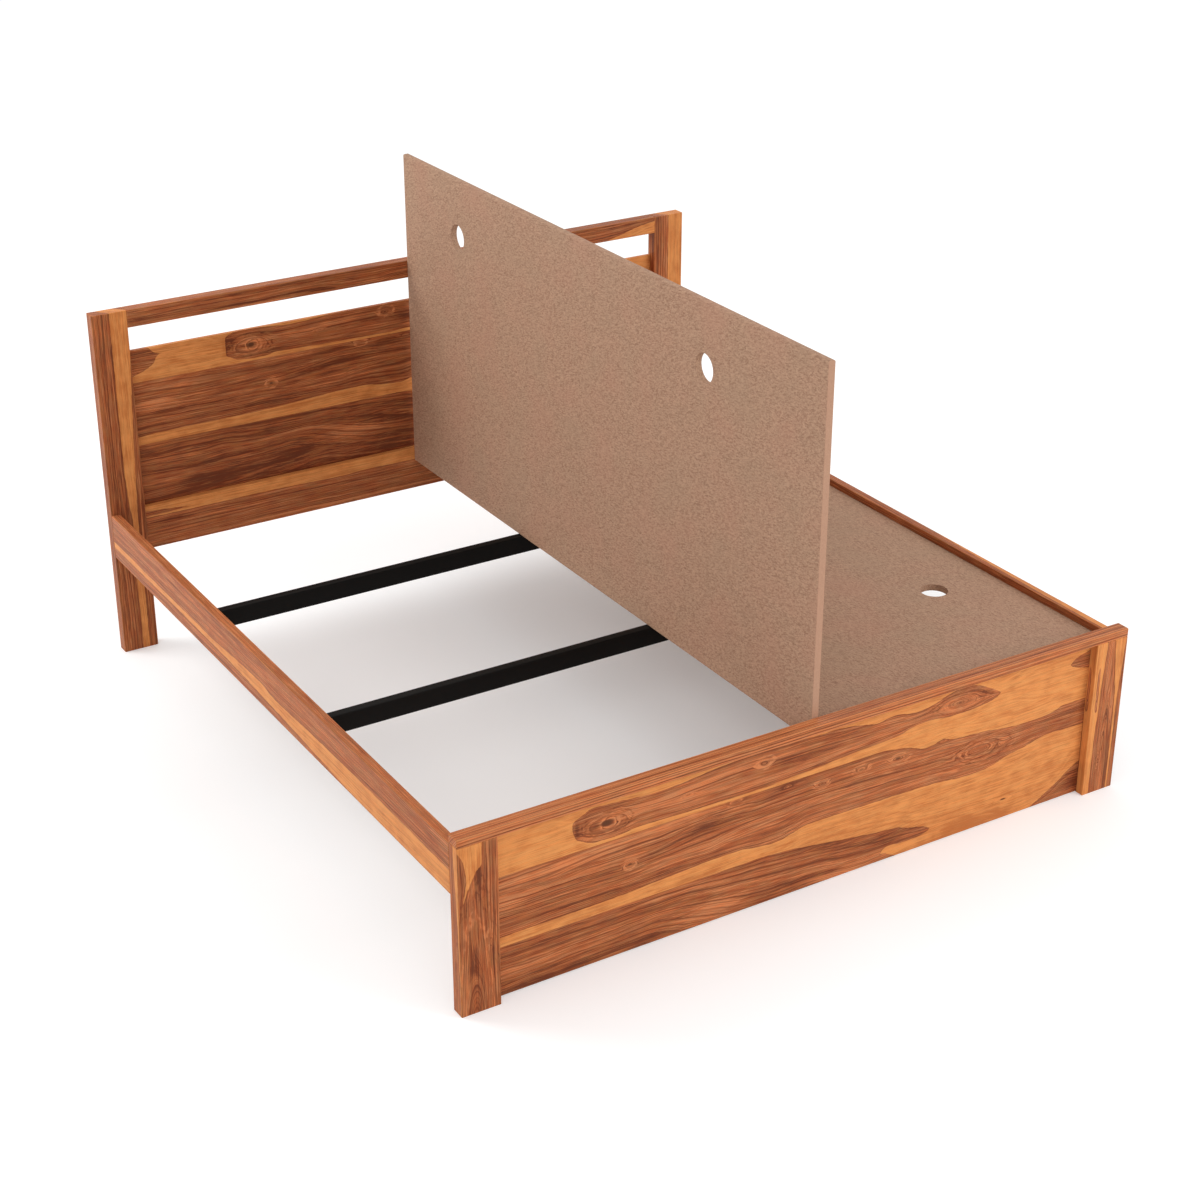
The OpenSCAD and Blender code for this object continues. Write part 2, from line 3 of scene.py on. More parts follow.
import bmesh
import bpy
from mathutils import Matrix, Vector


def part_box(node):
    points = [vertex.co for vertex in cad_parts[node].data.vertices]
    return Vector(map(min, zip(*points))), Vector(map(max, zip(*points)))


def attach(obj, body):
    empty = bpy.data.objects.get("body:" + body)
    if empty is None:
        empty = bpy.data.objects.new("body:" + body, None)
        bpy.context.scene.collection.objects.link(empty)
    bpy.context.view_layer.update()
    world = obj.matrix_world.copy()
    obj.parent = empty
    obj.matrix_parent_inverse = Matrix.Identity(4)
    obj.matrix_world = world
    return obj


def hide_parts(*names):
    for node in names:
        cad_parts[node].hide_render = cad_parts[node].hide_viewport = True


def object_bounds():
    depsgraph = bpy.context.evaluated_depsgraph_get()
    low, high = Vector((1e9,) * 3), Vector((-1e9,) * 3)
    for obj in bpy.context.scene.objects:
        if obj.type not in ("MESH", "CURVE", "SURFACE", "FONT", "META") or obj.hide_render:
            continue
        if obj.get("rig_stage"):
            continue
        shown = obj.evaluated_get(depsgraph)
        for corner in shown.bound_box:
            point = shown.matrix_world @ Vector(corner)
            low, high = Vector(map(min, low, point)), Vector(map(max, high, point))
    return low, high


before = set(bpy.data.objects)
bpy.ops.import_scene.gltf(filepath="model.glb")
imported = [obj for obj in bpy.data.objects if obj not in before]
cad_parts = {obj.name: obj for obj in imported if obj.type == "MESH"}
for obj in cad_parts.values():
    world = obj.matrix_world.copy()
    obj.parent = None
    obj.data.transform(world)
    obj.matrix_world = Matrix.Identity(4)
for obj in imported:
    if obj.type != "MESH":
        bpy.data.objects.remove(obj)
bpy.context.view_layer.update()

# Footboard legs: two sheesham posts on which the cap rail lies, planed square with eased
# arrises. Each is rebated at the back, where the ends of the footboard's planks are screwed
# in. The real legs are drilled for two dowels; these pieces are left undrilled. The grain runs
# up the leg, heartwood beside pale sapwood.

LEG_INNER, BED_SIDE = 0.842, 0.940
FOOT_FRONT, FOOT_BACK = -1.027, -0.990
LEG_TOP = 0.4275
FOOT_REBATE, PLANK_THICK = 0.0151, 0.012
ARRIS, CUT_PAST = 0.0016, 0.001

HEART_LIGHT, HEART_MID, HEART_DARK = (0.635, 0.222, 0.084), (0.400, 0.118, 0.042), (0.145, 0.037, 0.015)
SAP_LIGHT, SAP_DARK = (0.765, 0.308, 0.092), (0.500, 0.162, 0.045)
OLIVE_HEART, KNOT_CORE = (0.352, 0.126, 0.040), (0.075, 0.026, 0.012)
WARMER, COOLER = (1.07, 0.94, 0.86), (0.94, 1.05, 1.14)
# The second width is that of the arris band, which is lightened for wear and as a painted highlight.
SATIN, WEAR_AND_HIGHLIGHT_WIDTH, DRAWN_PAST = 0.09, 0.004, 90


def squared_block(name, low, high):
    """A block added at its place between two corners, with its own place in its mesh."""
    bpy.ops.object.select_all(action="DESELECT")
    middle = [(a + b) / 2 for a, b in zip(low, high)]
    bpy.ops.mesh.primitive_cube_add(size=1, location=middle)
    block = bpy.context.object
    block.name = block.data.name = name
    block.scale = [b - a for a, b in zip(low, high)]
    bpy.ops.object.transform_apply(location=True, rotation=True, scale=True)
    return block


def cut_away(piece, cutter):
    """Takes the cutter's shape out of the piece, and removes the cutter."""
    bpy.ops.object.select_all(action="DESELECT")
    bpy.context.view_layer.objects.active = piece
    cut = piece.modifiers.new("cut", "BOOLEAN")
    cut.object, cut.operation, cut.solver = cutter, "DIFFERENCE", "EXACT"
    bpy.ops.object.modifier_apply(modifier="cut")
    bpy.data.objects.remove(cutter)


def pick_up(piece):
    """Makes a piece the only selected one, and the one that operators act on."""
    bpy.ops.object.select_all(action="DESELECT")
    piece.select_set(True)
    bpy.context.view_layer.objects.active = piece


def ease_arrises(piece, width, steps=3, sharper_than=35):
    """Rounds every arris as sandpaper does, and lets the rounding shade smoothly."""
    pick_up(piece)
    bpy.ops.object.shade_smooth()
    ease = piece.modifiers.new("ease", "BEVEL")
    ease.width, ease.segments = width, steps
    ease.limit_method, ease.angle_limit = "ANGLE", math.radians(sharper_than)
    ease.harden_normals = ease.use_clamp_overlap = True
    bpy.ops.object.modifier_apply(modifier="ease")


class Worked:
    """A value that a material works out; a sum written with it adds Math nodes to the material."""

    def __init__(self, tree, output):
        self.tree, self.output = tree, output

    def step(self, operation, *terms):
        return add_node(self.tree, "Math", self, *terms, operation=operation)

    def __add__(self, term):
        return self.step("ADD", term)

    def __sub__(self, term):
        return self.step("SUBTRACT", term)

    def __rsub__(self, term):
        return add_node(self.tree, "Math", term, self, operation="SUBTRACT")

    def __mul__(self, term):
        return self.step("MULTIPLY", term)

    def __truediv__(self, term):
        return self.step("DIVIDE", term)

    __radd__, __rmul__ = __add__, __mul__


def feed(socket, value):
    """Links a worked-out value to a socket, or sets a plain one on it."""
    if isinstance(value, Worked):
        value.tree.links.new(value.output, socket)
    elif isinstance(value, tuple) and len(socket.default_value) > len(value):
        socket.default_value = (*value, 1)
    else:
        socket.default_value = value


def add_node(tree, kind, *terms, out=0, **settings):
    """A shader node with its settings, fed in the order of its inputs; None leaves one as it is."""
    node = tree.nodes.new("ShaderNode" + kind)
    for name, value in settings.items():
        setattr(node, name, value)
    for socket, term in zip(node.inputs, terms):
        if term is not None:
            feed(socket, term)
    return Worked(tree, node.outputs[out])


def fade(value, start, end, low=0.0, high=1.0):
    """Goes smoothly from low to high while the value goes from start to end."""
    return add_node(value.tree, "MapRange", value, start, end, low, high, interpolation_type="SMOOTHSTEP")


def cloud(place, detail=2.0, roughness=0.5, scale=1.0):
    """Cloudy noise about 0.5, with a feature for each unit of the scaled place."""
    return add_node(place.tree, "TexNoise", place, None, scale, detail, roughness)


def stretched(lengths, terms, seed=0.0):
    """A place in which each term is divided by the length of its features."""
    far_off = [seed * (7.31 + 3.17 * i) for i in range(3)]
    parts = [term / length + away for length, term, away in zip(lengths, terms, far_off)]
    return add_node(terms[0].tree, "CombineXYZ", *parts)


def split(place, scale=1000.0):
    """The three parts of a place, in millimetres unless told otherwise."""
    parts = add_node(place.tree, "SeparateXYZ", place).output.node.outputs
    return [Worked(place.tree, part) * scale for part in parts]


def blend(share, first, second, way="MIX"):
    """One colour laid over another."""
    terms = (share, *[None] * 5, first, second)
    return add_node(share.tree, "Mix", *terms, out=2, data_type="RGBA", blend_type=way)


def start_group(name, takes, gives, colours=(), places=()):
    """A shader group. Its named sockets are numbers, but for those said to be colours or places."""
    tree = bpy.data.node_groups.new(name, "ShaderNodeTree")
    for labels, way in ((takes, "INPUT"), (gives, "OUTPUT")):
        for label in labels:
            kind = "Color" if label in colours else "Vector" if label in places else "Float"
            tree.interface.new_socket(name=label, in_out=way, socket_type="NodeSocket" + kind)
    given = tree.nodes.new("NodeGroupInput").outputs
    return tree, [Worked(tree, given[label]) for label in takes], tree.nodes.new("NodeGroupOutput").inputs


def put(tree, group, values):
    """Places a group in a material, with its own values, and tells what it gives."""
    node = tree.nodes.new("ShaderNodeGroup")
    node.node_tree = group
    for label, value in values.items():
        feed(node.inputs[label], value)
    return {output.name: Worked(tree, output) for output in node.outputs}


def make_grain_wander():
    """How far the grain strays sideways, in millimetres: long waves with small ones on them."""
    tree, (along, across, depth, reach, seed), out = start_group(
        "grain_wander", ("Along", "Across", "Depth", "Reach", "Seed"), ("Shift",))
    long_waves = cloud(stretched((230.0, 60.0, 45.0), (along, across, depth), seed))
    small_waves = cloud(stretched((46.0, 13.0, 13.0), (along, across, depth), seed))
    feed(out["Shift"], ((small_waves - 0.5) * 0.5 + (long_waves - 0.5) * 2.4) * reach)
    return tree


def make_growth_rings():
    """Dark growth lines, uneven in spacing and strength, along a run in millimetres, and tone."""
    tree, (run, along, spacing, seed), out = start_group(
        "growth_rings", ("Run", "Along", "Spacing", "Seed"), ("Lines", "Tone"))
    rings = run / spacing
    uneven = (cloud(stretched((1.8, 600.0, 1.0), (rings, along, 0.0), seed), 1.0) - 0.5) * 1.5 + rings
    lines = None
    for count, share, hold in ((1.0, 1.0, 900.0), (2.3, 0.80, 520.0), (5.2, 0.55, 260.0)):
        ring = uneven * count
        phase = ring.step("FRACT")
        line = fade(phase, 0.62, 0.90) * fade(phase, 0.91, 1.0, 1.0, 0.0)
        strength = cloud(stretched((0.61, hold, 1.0), (ring.step("FLOOR"), along, 0.0), seed), 1.0)
        line = line * share * fade(strength, 0.32, 0.54)
        lines = line if lines is None else lines.step("MAXIMUM", line)
    feed(out["Lines"], lines)
    feed(out["Tone"], cloud(stretched((1.1, 600.0, 1.0), (rings, along, 0.0), seed), 5.0, 0.70))
    return tree


def make_knot():
    """A knot or eye: how far a spot is from its middle, a soft hill on it, and its dark core."""
    tree, (along, across, at_along, at_across, half_length, half_height), out = start_group(
        "knot", ("Along", "Across", "At along", "At across", "Half length", "Half height"),
        ("Away", "Near", "Hill", "Core"))
    far_along = (along - at_along) / half_length
    far_across = (across - at_across) / half_height
    square = far_along * far_along + far_across * far_across
    away = square.step("SQRT")
    feed(out["Away"], away)
    feed(out["Near"], fade(away, 0.45, 1.15, 1.0, 0.0))
    feed(out["Hill"], (square * -1.0).step("EXPONENT"))
    feed(out["Core"], fade(away, 0.14, 0.34, 1.0, 0.0))
    return tree


def make_heart_edge():
    """Turns the distance inside the heartwood into a feathered edge with a dark outline."""
    tree, (inside, along, across, seed), out = start_group(
        "heart_edge", ("Inside", "Along", "Across", "Seed"), ("Heart", "Outline"))
    feather = cloud(stretched((26.0, 3.2, 1.0), (along, across, 0.0), seed))
    inside = (feather - 0.5) * 4.5 + inside
    heart = fade(inside, -1.0, 1.0)
    strength = cloud(stretched((190.0, 30.0, 1.0), (along, across, 0.0), seed), 1.0)
    feed(out["Heart"], heart)
    feed(out["Outline"], fade(inside, 0.6, 3.8, 1.0, 0.0) * heart * fade(strength, 0.34, 0.60, 0.30, 1.0))
    return tree


def make_fibres():
    """Fine fibres and open pores drawn out along the grain, the ripple across it, and changes of hue."""
    tree, (along, across, depth, seed), out = start_group(
        "fibres", ("Along", "Across", "Depth", "Seed"), ("Fibre", "Pores", "Ripple", "Hue"))
    terms = (along, across, depth)
    feed(out["Fibre"], cloud(stretched((85.0, 1.9, 1.9), terms, seed), 4.0, 0.60))
    feed(out["Pores"], fade(cloud(stretched((9.0, 0.55, 0.55), terms, seed), 1.0), 0.63, 0.74))
    feed(out["Ripple"], cloud(stretched((42.0, 26.0, 26.0), terms, seed)))
    feed(out["Hue"], cloud(stretched((60.0, 6.0, 6.0), terms, seed), 4.0, 0.6))
    return tree


def make_arris_wear_and_highlight():
    """Where two faces of a squared piece meet: lacquer rubbed thin along the arris, unevenly, and a painted
    highlight along it.
    """
    takes = ("Place", "Low", "High", "Width")
    tree, (place, low, high, width), out = start_group("arris_wear", takes, ("Worn",), places=takes[:3])

    def pair(operation, first, second):
        return add_node(tree, "VectorMath", first, second, operation=operation)
    x, y, z = split(pair("MINIMUM", pair("SUBTRACT", place, low), pair("SUBTRACT", high, place)), 1.0)
    second = x.step("MINIMUM", y).step("MAXIMUM", x.step("MAXIMUM", y).step("MINIMUM", z))
    edge = fade(second / width, 0.25, 1.0, 1.0, 0.0)
    feed(out["Worn"], edge * fade(cloud(place, scale=38.0), 0.3, 0.65, 0.35, 1.0))
    return tree


def make_lacquered_sheesham():
    """Puts figure, fibres, and arris wear with its painted highlight together as the colour, roughness and
    relief of lacquered sheesham.
    """
    colours = ("Heart light", "Heart mid", "Heart dark", "Sap light", "Sap dark")
    figure = ("Heart", "Outline", "Lines", "Tone", "Smudge", "Core")
    texture = ("Fibre", "Pores", "Ripple", "Hue", "Worn")
    tree, given, out = start_group("lacquered_sheesham", (*colours, *figure, *texture),
                                   ("Colour", "Roughness", "Relief"), (*colours, "Colour"))
    heart_light, heart_mid, heart_dark, sap_light, sap_dark = given[:5]
    in_heart, outline, lines, tone, smudge, core, fibre, pores, ripple, hue, wear_and_highlight = given[5:]

    def toned(ripple_share, tone_share, smudge_share):
        shares = (tone - 0.5) * tone_share + (fibre - 0.5) * 1.05 + (ripple - 0.5) * ripple_share
        return shares + 0.5 - smudge * smudge_share
    heart_tone, sap_tone = toned(0.18, 0.90, 0.30), toned(0.60, 0.80, 0.24)
    heart = blend(fade(ripple, 0.42, 0.64, 0.0, 0.55), heart_mid, OLIVE_HEART)
    heart = blend(fade(heart_tone, 0.24, 0.47), heart_dark, heart)
    heart = blend(fade(heart_tone, 0.47, 0.72), heart, heart_light)
    heart = blend((lines * 0.88).step("MAXIMUM", outline * 0.82), heart, heart_dark)
    sap = blend(fade(sap_tone, 0.20, 0.74), sap_dark, sap_light)
    sap = blend(lines * 0.28, sap, sap_dark)
    wood = blend(in_heart, sap, heart)
    wood = blend(core, wood, KNOT_CORE)
    wood = blend(pores * 0.30, wood, heart_dark)
    # Lighter towards the sapwood colour along the arrises: partly wear, partly a painted highlight.
    wood = blend(wear_and_highlight * 0.14, wood, sap_light)
    hues = blend(fade(hue, 0.34, 0.66), WARMER, COOLER)
    feed(out["Colour"], blend(in_heart * 0.6 + 0.4, wood, hues, "MULTIPLY"))
    feed(out["Roughness"], fibre * 0.12 + 0.36 + pores * 0.14 + wear_and_highlight * 0.08)
    feed(out["Relief"], fibre * 0.45 - pores * 0.8 - lines * 0.12)
    return tree


GRAIN_WANDER, GROWTH_RINGS, KNOT = make_grain_wander(), make_growth_rings(), make_knot()
HEART_EDGE, FIBRES, ARRIS_WEAR_AND_HIGHLIGHT = make_heart_edge(), make_fibres(), make_arris_wear_and_highlight()
LACQUERED_SHEESHAM = make_lacquered_sheesham()


def start_material(name, gloss):
    """A new material, its shader's sockets, and the place on the piece that its patterns follow."""
    material = bpy.data.materials.new(name)
    material.use_nodes = True
    tree = material.node_tree
    shader = tree.nodes["Principled BSDF"].inputs
    shader["Specular IOR Level"].default_value = gloss
    return material, shader, add_node(tree, "TexCoord", out="Object")


def dress(shader, colour, roughness, height, strength, distance):
    """Feeds a shader its colour, its roughness and the relief that catches the light."""
    feed(shader["Base Color"], colour)
    feed(shader["Roughness"], roughness)
    relief = height.tree.nodes.new("ShaderNodeBump")
    feed(relief.inputs["Strength"], strength)
    feed(relief.inputs["Distance"], distance)
    feed(relief.inputs["Height"], height)
    feed(shader["Normal"], Worked(height.tree, relief.outputs[0]))


def sheesham(name, low, high, run, figure, seed, spacing, wander, slant=0.9):
    """Lacquered sheesham for one timber. run names the axes along, across and through the board.
    figure, in millimetres along and across, holds the edges of the heartwood, the lines that the
    growth rings follow, the swells that push them aside, the knots that they close round, and
    smudges and rings that are darker or, below nought, lighter. Each has its place and half
    size first, and a ring then has its thickness as a share of its size."""
    wood, shader, place = start_material(name, SATIN)
    tree = place.tree
    parts = dict(zip("xyz", split(place)))
    first, last = ({axis: 1000 * part for axis, part in zip("xyz", corner)} for corner in (low, high))
    along, depth = parts[run[0]], parts[run[2]] - first[run[2]]
    across = depth * slant + parts[run[1]]
    start, end = first[run[0]], last[run[0]]
    bottom, top = first[run[1]] - DRAWN_PAST, last[run[1]] + DRAWN_PAST
    share = (along - start) / (end - start)
    board = {"Along": along, "Across": across, "Depth": depth, "Seed": seed}
    strayed = across + put(tree, GRAIN_WANDER, {**board, "Reach": wander})["Shift"]

    def drawn_line(points):
        """The height of a line drawn through the given points at each place along the grain."""
        spots = [((p - start) / (end - start), (q - bottom) / (top - bottom)) for p, q in points]
        before, after = [s for s in spots if s[0] <= 0], [s for s in spots if s[0] >= 1]
        inner = [s for s in spots if 0 < s[0] < 1]

        def meet(at, one, two):
            rise = 0 if two[0] == one[0] else (two[1] - one[1]) * (at - one[0]) / (two[0] - one[0])
            return (at, one[1] + rise)
        begins = meet(0.0, before[-1], (inner or after)[0]) if before else (0.0, inner[0][1])
        ends = meet(1.0, (inner or before)[-1], after[0]) if after else (1.0, inner[-1][1])
        spots = [begins, *inner, ends]
        drawn = add_node(tree, "FloatCurve", None, share)
        mapping = drawn.output.node.mapping
        bends = mapping.curves[0].points
        while len(bends) < len(spots):
            bends.new(0.5, 0.5)
        for bend, spot in zip(bends, spots):
            bend.location = [min(max(part, 0), 1) for part in spot]
            bend.handle_type = "AUTO_CLAMPED"
        mapping.update()
        return drawn * (top - bottom) + bottom

    inside = None
    for lobe in figure["heart"]:
        edges = []
        if "under" in lobe:
            edges.append((across - drawn_line(lobe["under"]), 6.0))
        if "over" in lobe:
            edges.append((drawn_line(lobe["over"]) - across, 6.0))
        if "from" in lobe:
            edges.append((along - lobe["from"], 8.0))
        if "to" in lobe:
            edges.append((lobe["to"] - along, 8.0))
        in_lobe = edges[0][0]
        for edge, softness in edges[1:]:
            in_lobe = in_lobe.step("SMOOTH_MIN", edge, softness)
        inside = in_lobe if inside is None else inside.step("MAXIMUM", in_lobe)

    heights = [drawn_line(points) for points in figure["lines"]]
    levels = [sum(q for _, q in points) / len(points) for points in figure["lines"]]
    ring_run = (strayed - heights[0]).step("MINIMUM", 0.0) + levels[0]
    for i in range(len(heights) - 1):
        part = (strayed - heights[i]) / (heights[i + 1] - heights[i]).step("MAXIMUM", 1.0)
        part = part.step("MAXIMUM", 0.0).step("MINIMUM", 1.0)
        ring_run = part * (levels[i + 1] - levels[i]) + ring_run
    ring_run = ring_run + (strayed - heights[-1]).step("MAXIMUM", 0.0)

    def spot(p, q, length, height):
        return put(tree, KNOT, {"Along": along, "Across": strayed, "At along": p, "At across": q,
                                "Half length": length, "Half height": height})

    for *shape, push in figure.get("swells", ()):
        ring_run = spot(*shape)["Hill"] * push + ring_run
    core, smudge = 0.0, -figure.get("lift", 0.0)
    for *shape, wrap, darkness in figure.get("knots", ()):
        eye = spot(*shape)
        closed = eye["Away"] * wrap + (shape[1] - 0.7 * wrap)
        ring_run = eye["Near"] * (closed - ring_run) + ring_run
        core = eye["Core"] * darkness + core
        smudge = eye["Hill"] * (-0.45 * darkness) + smudge
    for *shape, darkness in figure.get("smudges", ()):
        smudge = spot(*shape)["Hill"] * darkness + smudge
    if figure.get("rings"):
        terms = (along, across, depth)
        bent = cloud(stretched((24.0, 9.0, 9.0), terms, seed)) - 0.5
        broken = fade(cloud(stretched((19.0, 12.0, 12.0), terms, seed + 3), 1.0), 0.36, 0.60, 0.15, 1.0)
        circles = 0.0
        for *shape, thick, darkness in figure["rings"]:
            away = bent * min(0.7, 12.0 / shape[3]) + spot(*shape)["Away"]
            circles = fade((away - 1.0).step("ABSOLUTE"), 0.2 * thick, thick, darkness, 0.0) + circles
        smudge = circles * broken + smudge

    rings = put(tree, GROWTH_RINGS, {"Run": ring_run, "Along": along, "Spacing": spacing, "Seed": seed})
    edge = put(tree, HEART_EDGE, {"Inside": inside, "Along": along, "Across": across, "Seed": seed})
    fibres = put(tree, FIBRES, {**board, "Across": strayed})
    # The arris band: wear with a painted highlight.
    wear_and_highlight = put(tree, ARRIS_WEAR_AND_HIGHLIGHT, {"Place": place, "Low": low, "High": high, "Width": WEAR_AND_HIGHLIGHT_WIDTH})
    lacquer = put(tree, LACQUERED_SHEESHAM, {
        **edge, **rings, **fibres, **wear_and_highlight, "Smudge": smudge, "Core": core,
        "Heart light": HEART_LIGHT, "Heart mid": HEART_MID, "Heart dark": HEART_DARK,
        "Sap light": SAP_LIGHT, "Sap dark": SAP_DARK})
    dress(shader, lacquer["Colour"], lacquer["Roughness"], lacquer["Relief"], 0.35, 0.0006)
    return wood


def finish_piece(piece, material, node, body="frame"):
    """Gives a piece its material, its CAD node and the body that carries it."""
    piece.data.materials.clear()
    piece.data.materials.append(material)
    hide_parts(node)
    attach(piece, body)


def rebated_upright(name, side, inner, depth, top, rebate):
    """A leg or post that is rebated at the back for the planks' ends, and its two corners. inner holds
    its inner face and how far the rebate goes in from it, depth its front and back, and rebate the
    heights between which it is cut."""
    near, outer = sorted((side * inner[0], side * BED_SIDE))
    low, high = (near, depth[0], 0.0), (outer, depth[1], top)
    upright = squared_block(name + "_sheesham", low, high)
    near, far = sorted((side * (inner[0] - CUT_PAST), side * (inner[0] + inner[1])))
    cut_away(upright, squared_block("waste", (near, depth[1] - PLANK_THICK, rebate[0]),
                                    (far, depth[1] + CUT_PAST, rebate[1])))
    ease_arrises(upright, ARRIS)
    return upright, low, high


LEG_FIGURES = {
    "left": {
        "heart": [{"over": [(0, -942.5), (130, -944), (300, -950), (427, -957)]},
            {"under": [(0, -940.5), (427, -940.5)], "over": [(0, -930), (285, -930), (300, -927),
              (330, -922), (350, -920), (380, -924), (405, -932), (415, -938), (427, -946)]},
            {"under": [(0, -941), (262, -941), (285, -930), (292, -927), (326, -914), (348, -902),
              (358, -897), (366, -890), (372, -884), (382, -881.5), (427, -881)]}],
        "lines": [[(0, -976), (427, -978)], [(0, -941), (427, -941)],
            [(0, -925), (285, -928), (310, -922), (350, -914), (385, -905), (427, -905)],
            [(0, -880), (427, -881)], [(0, -862), (160, -866), (230, -860), (427, -861)],
            [(0, -843), (427, -842)]],
        "knots": [(-100, -902, 349, 49, 30, 0.0), (172, -863, 18, 6, 6, 0.2)],
        "rings": [(-100, -902, 345, 46, 0.06, -0.45), (-100, -903, 352, 41, 0.05, -0.25),
            (-100, -901, 400, 58, 0.03, 0.4), (-100, -900, 430, 64, 0.03, 0.4),
            (-100, -898, 455, 68, 0.03, 0.35), (188, -867, 17, 7, 0.5, -0.8)],
        "smudges": [(350, -931, 48, 7, 0.7), (350, -889, 26, 8, 0.9), (300, -895, 40, 18, 0.25),
            (80, -903, 130, 22, 0.45), (150, -905, 60, 20, 0.3), (250, -930, 60, 5, -0.35),
            (140, -860, 40, 4, 0.75), (40, -930, 50, 6, -0.6), (60, -852, 60, 4, -0.5),
            (330, -870, 90, 2, 0.7), (330, -862, 90, 1.8, 0.6), (330, -866, 90, 1.8, -0.6),
            (390, -915, 20, 12, -0.2)],
        "lift": 0.0,
    },
    "right": {
        "heart": [{"under": [(0, 861), (120, 862), (200, 864), (250, 868), (300, 868), (427, 875)],
              "over": [(0, 919), (250, 917), (330, 910), (380, 905), (427, 902)]},
            {"under": [(0, 924), (250, 925), (330, 930), (380, 933), (427, 936)], "over": [(0, 990),
              (427, 990)]},
            {"under": [(225, 857.5), (250, 853), (340, 853), (372, 857.5)], "over": [(225, 857.5),
              (250, 861), (340, 861), (372, 857.5)], "from": 232, "to": 366}],
        "lines": [[(0, 846), (427, 850)], [(0, 863), (250, 868), (427, 876)], [(0, 890), (427, 892)],
            [(0, 919), (250, 917), (427, 903)], [(0, 938), (427, 941)]],
        "knots": [(90, 883, 26, 8, 9, 0.22), (268, 857, 15, 4, 4, 0.5)],
        "swells": [(0, 888, 290, 17, 44)],
        "smudges": [(330, 934, 60, 5, 0.45), (120, 905, 150, 5, -0.2), (350, 888, 90, 6, -0.4)],
        "lift": 0.12,
    },
}
for side, name in ((-1, "left"), (1, "right")):
    node = "footboard_leg_" + name
    leg, low, high = rebated_upright(node, side, (LEG_INNER, FOOT_REBATE), (FOOT_FRONT, FOOT_BACK),
                                     LEG_TOP, (-CUT_PAST, LEG_TOP + CUT_PAST))
    wood = sheesham("sheesham_leg_" + name, low, high, "zxy", LEG_FIGURES[name],
                    seed=3.0 + side, spacing=7.5, wander=3.0, slant=side * 0.9)
    finish_piece(leg, wood, node)


# Footboard panel: three sheesham planks, 12 mm thick, glued edge to edge and screwed at their
# ends into the legs' rebates. The top and bottom planks show broad pale sapwood beside the
# brown heart, and each plank's knots and growth lines run on from the same log.

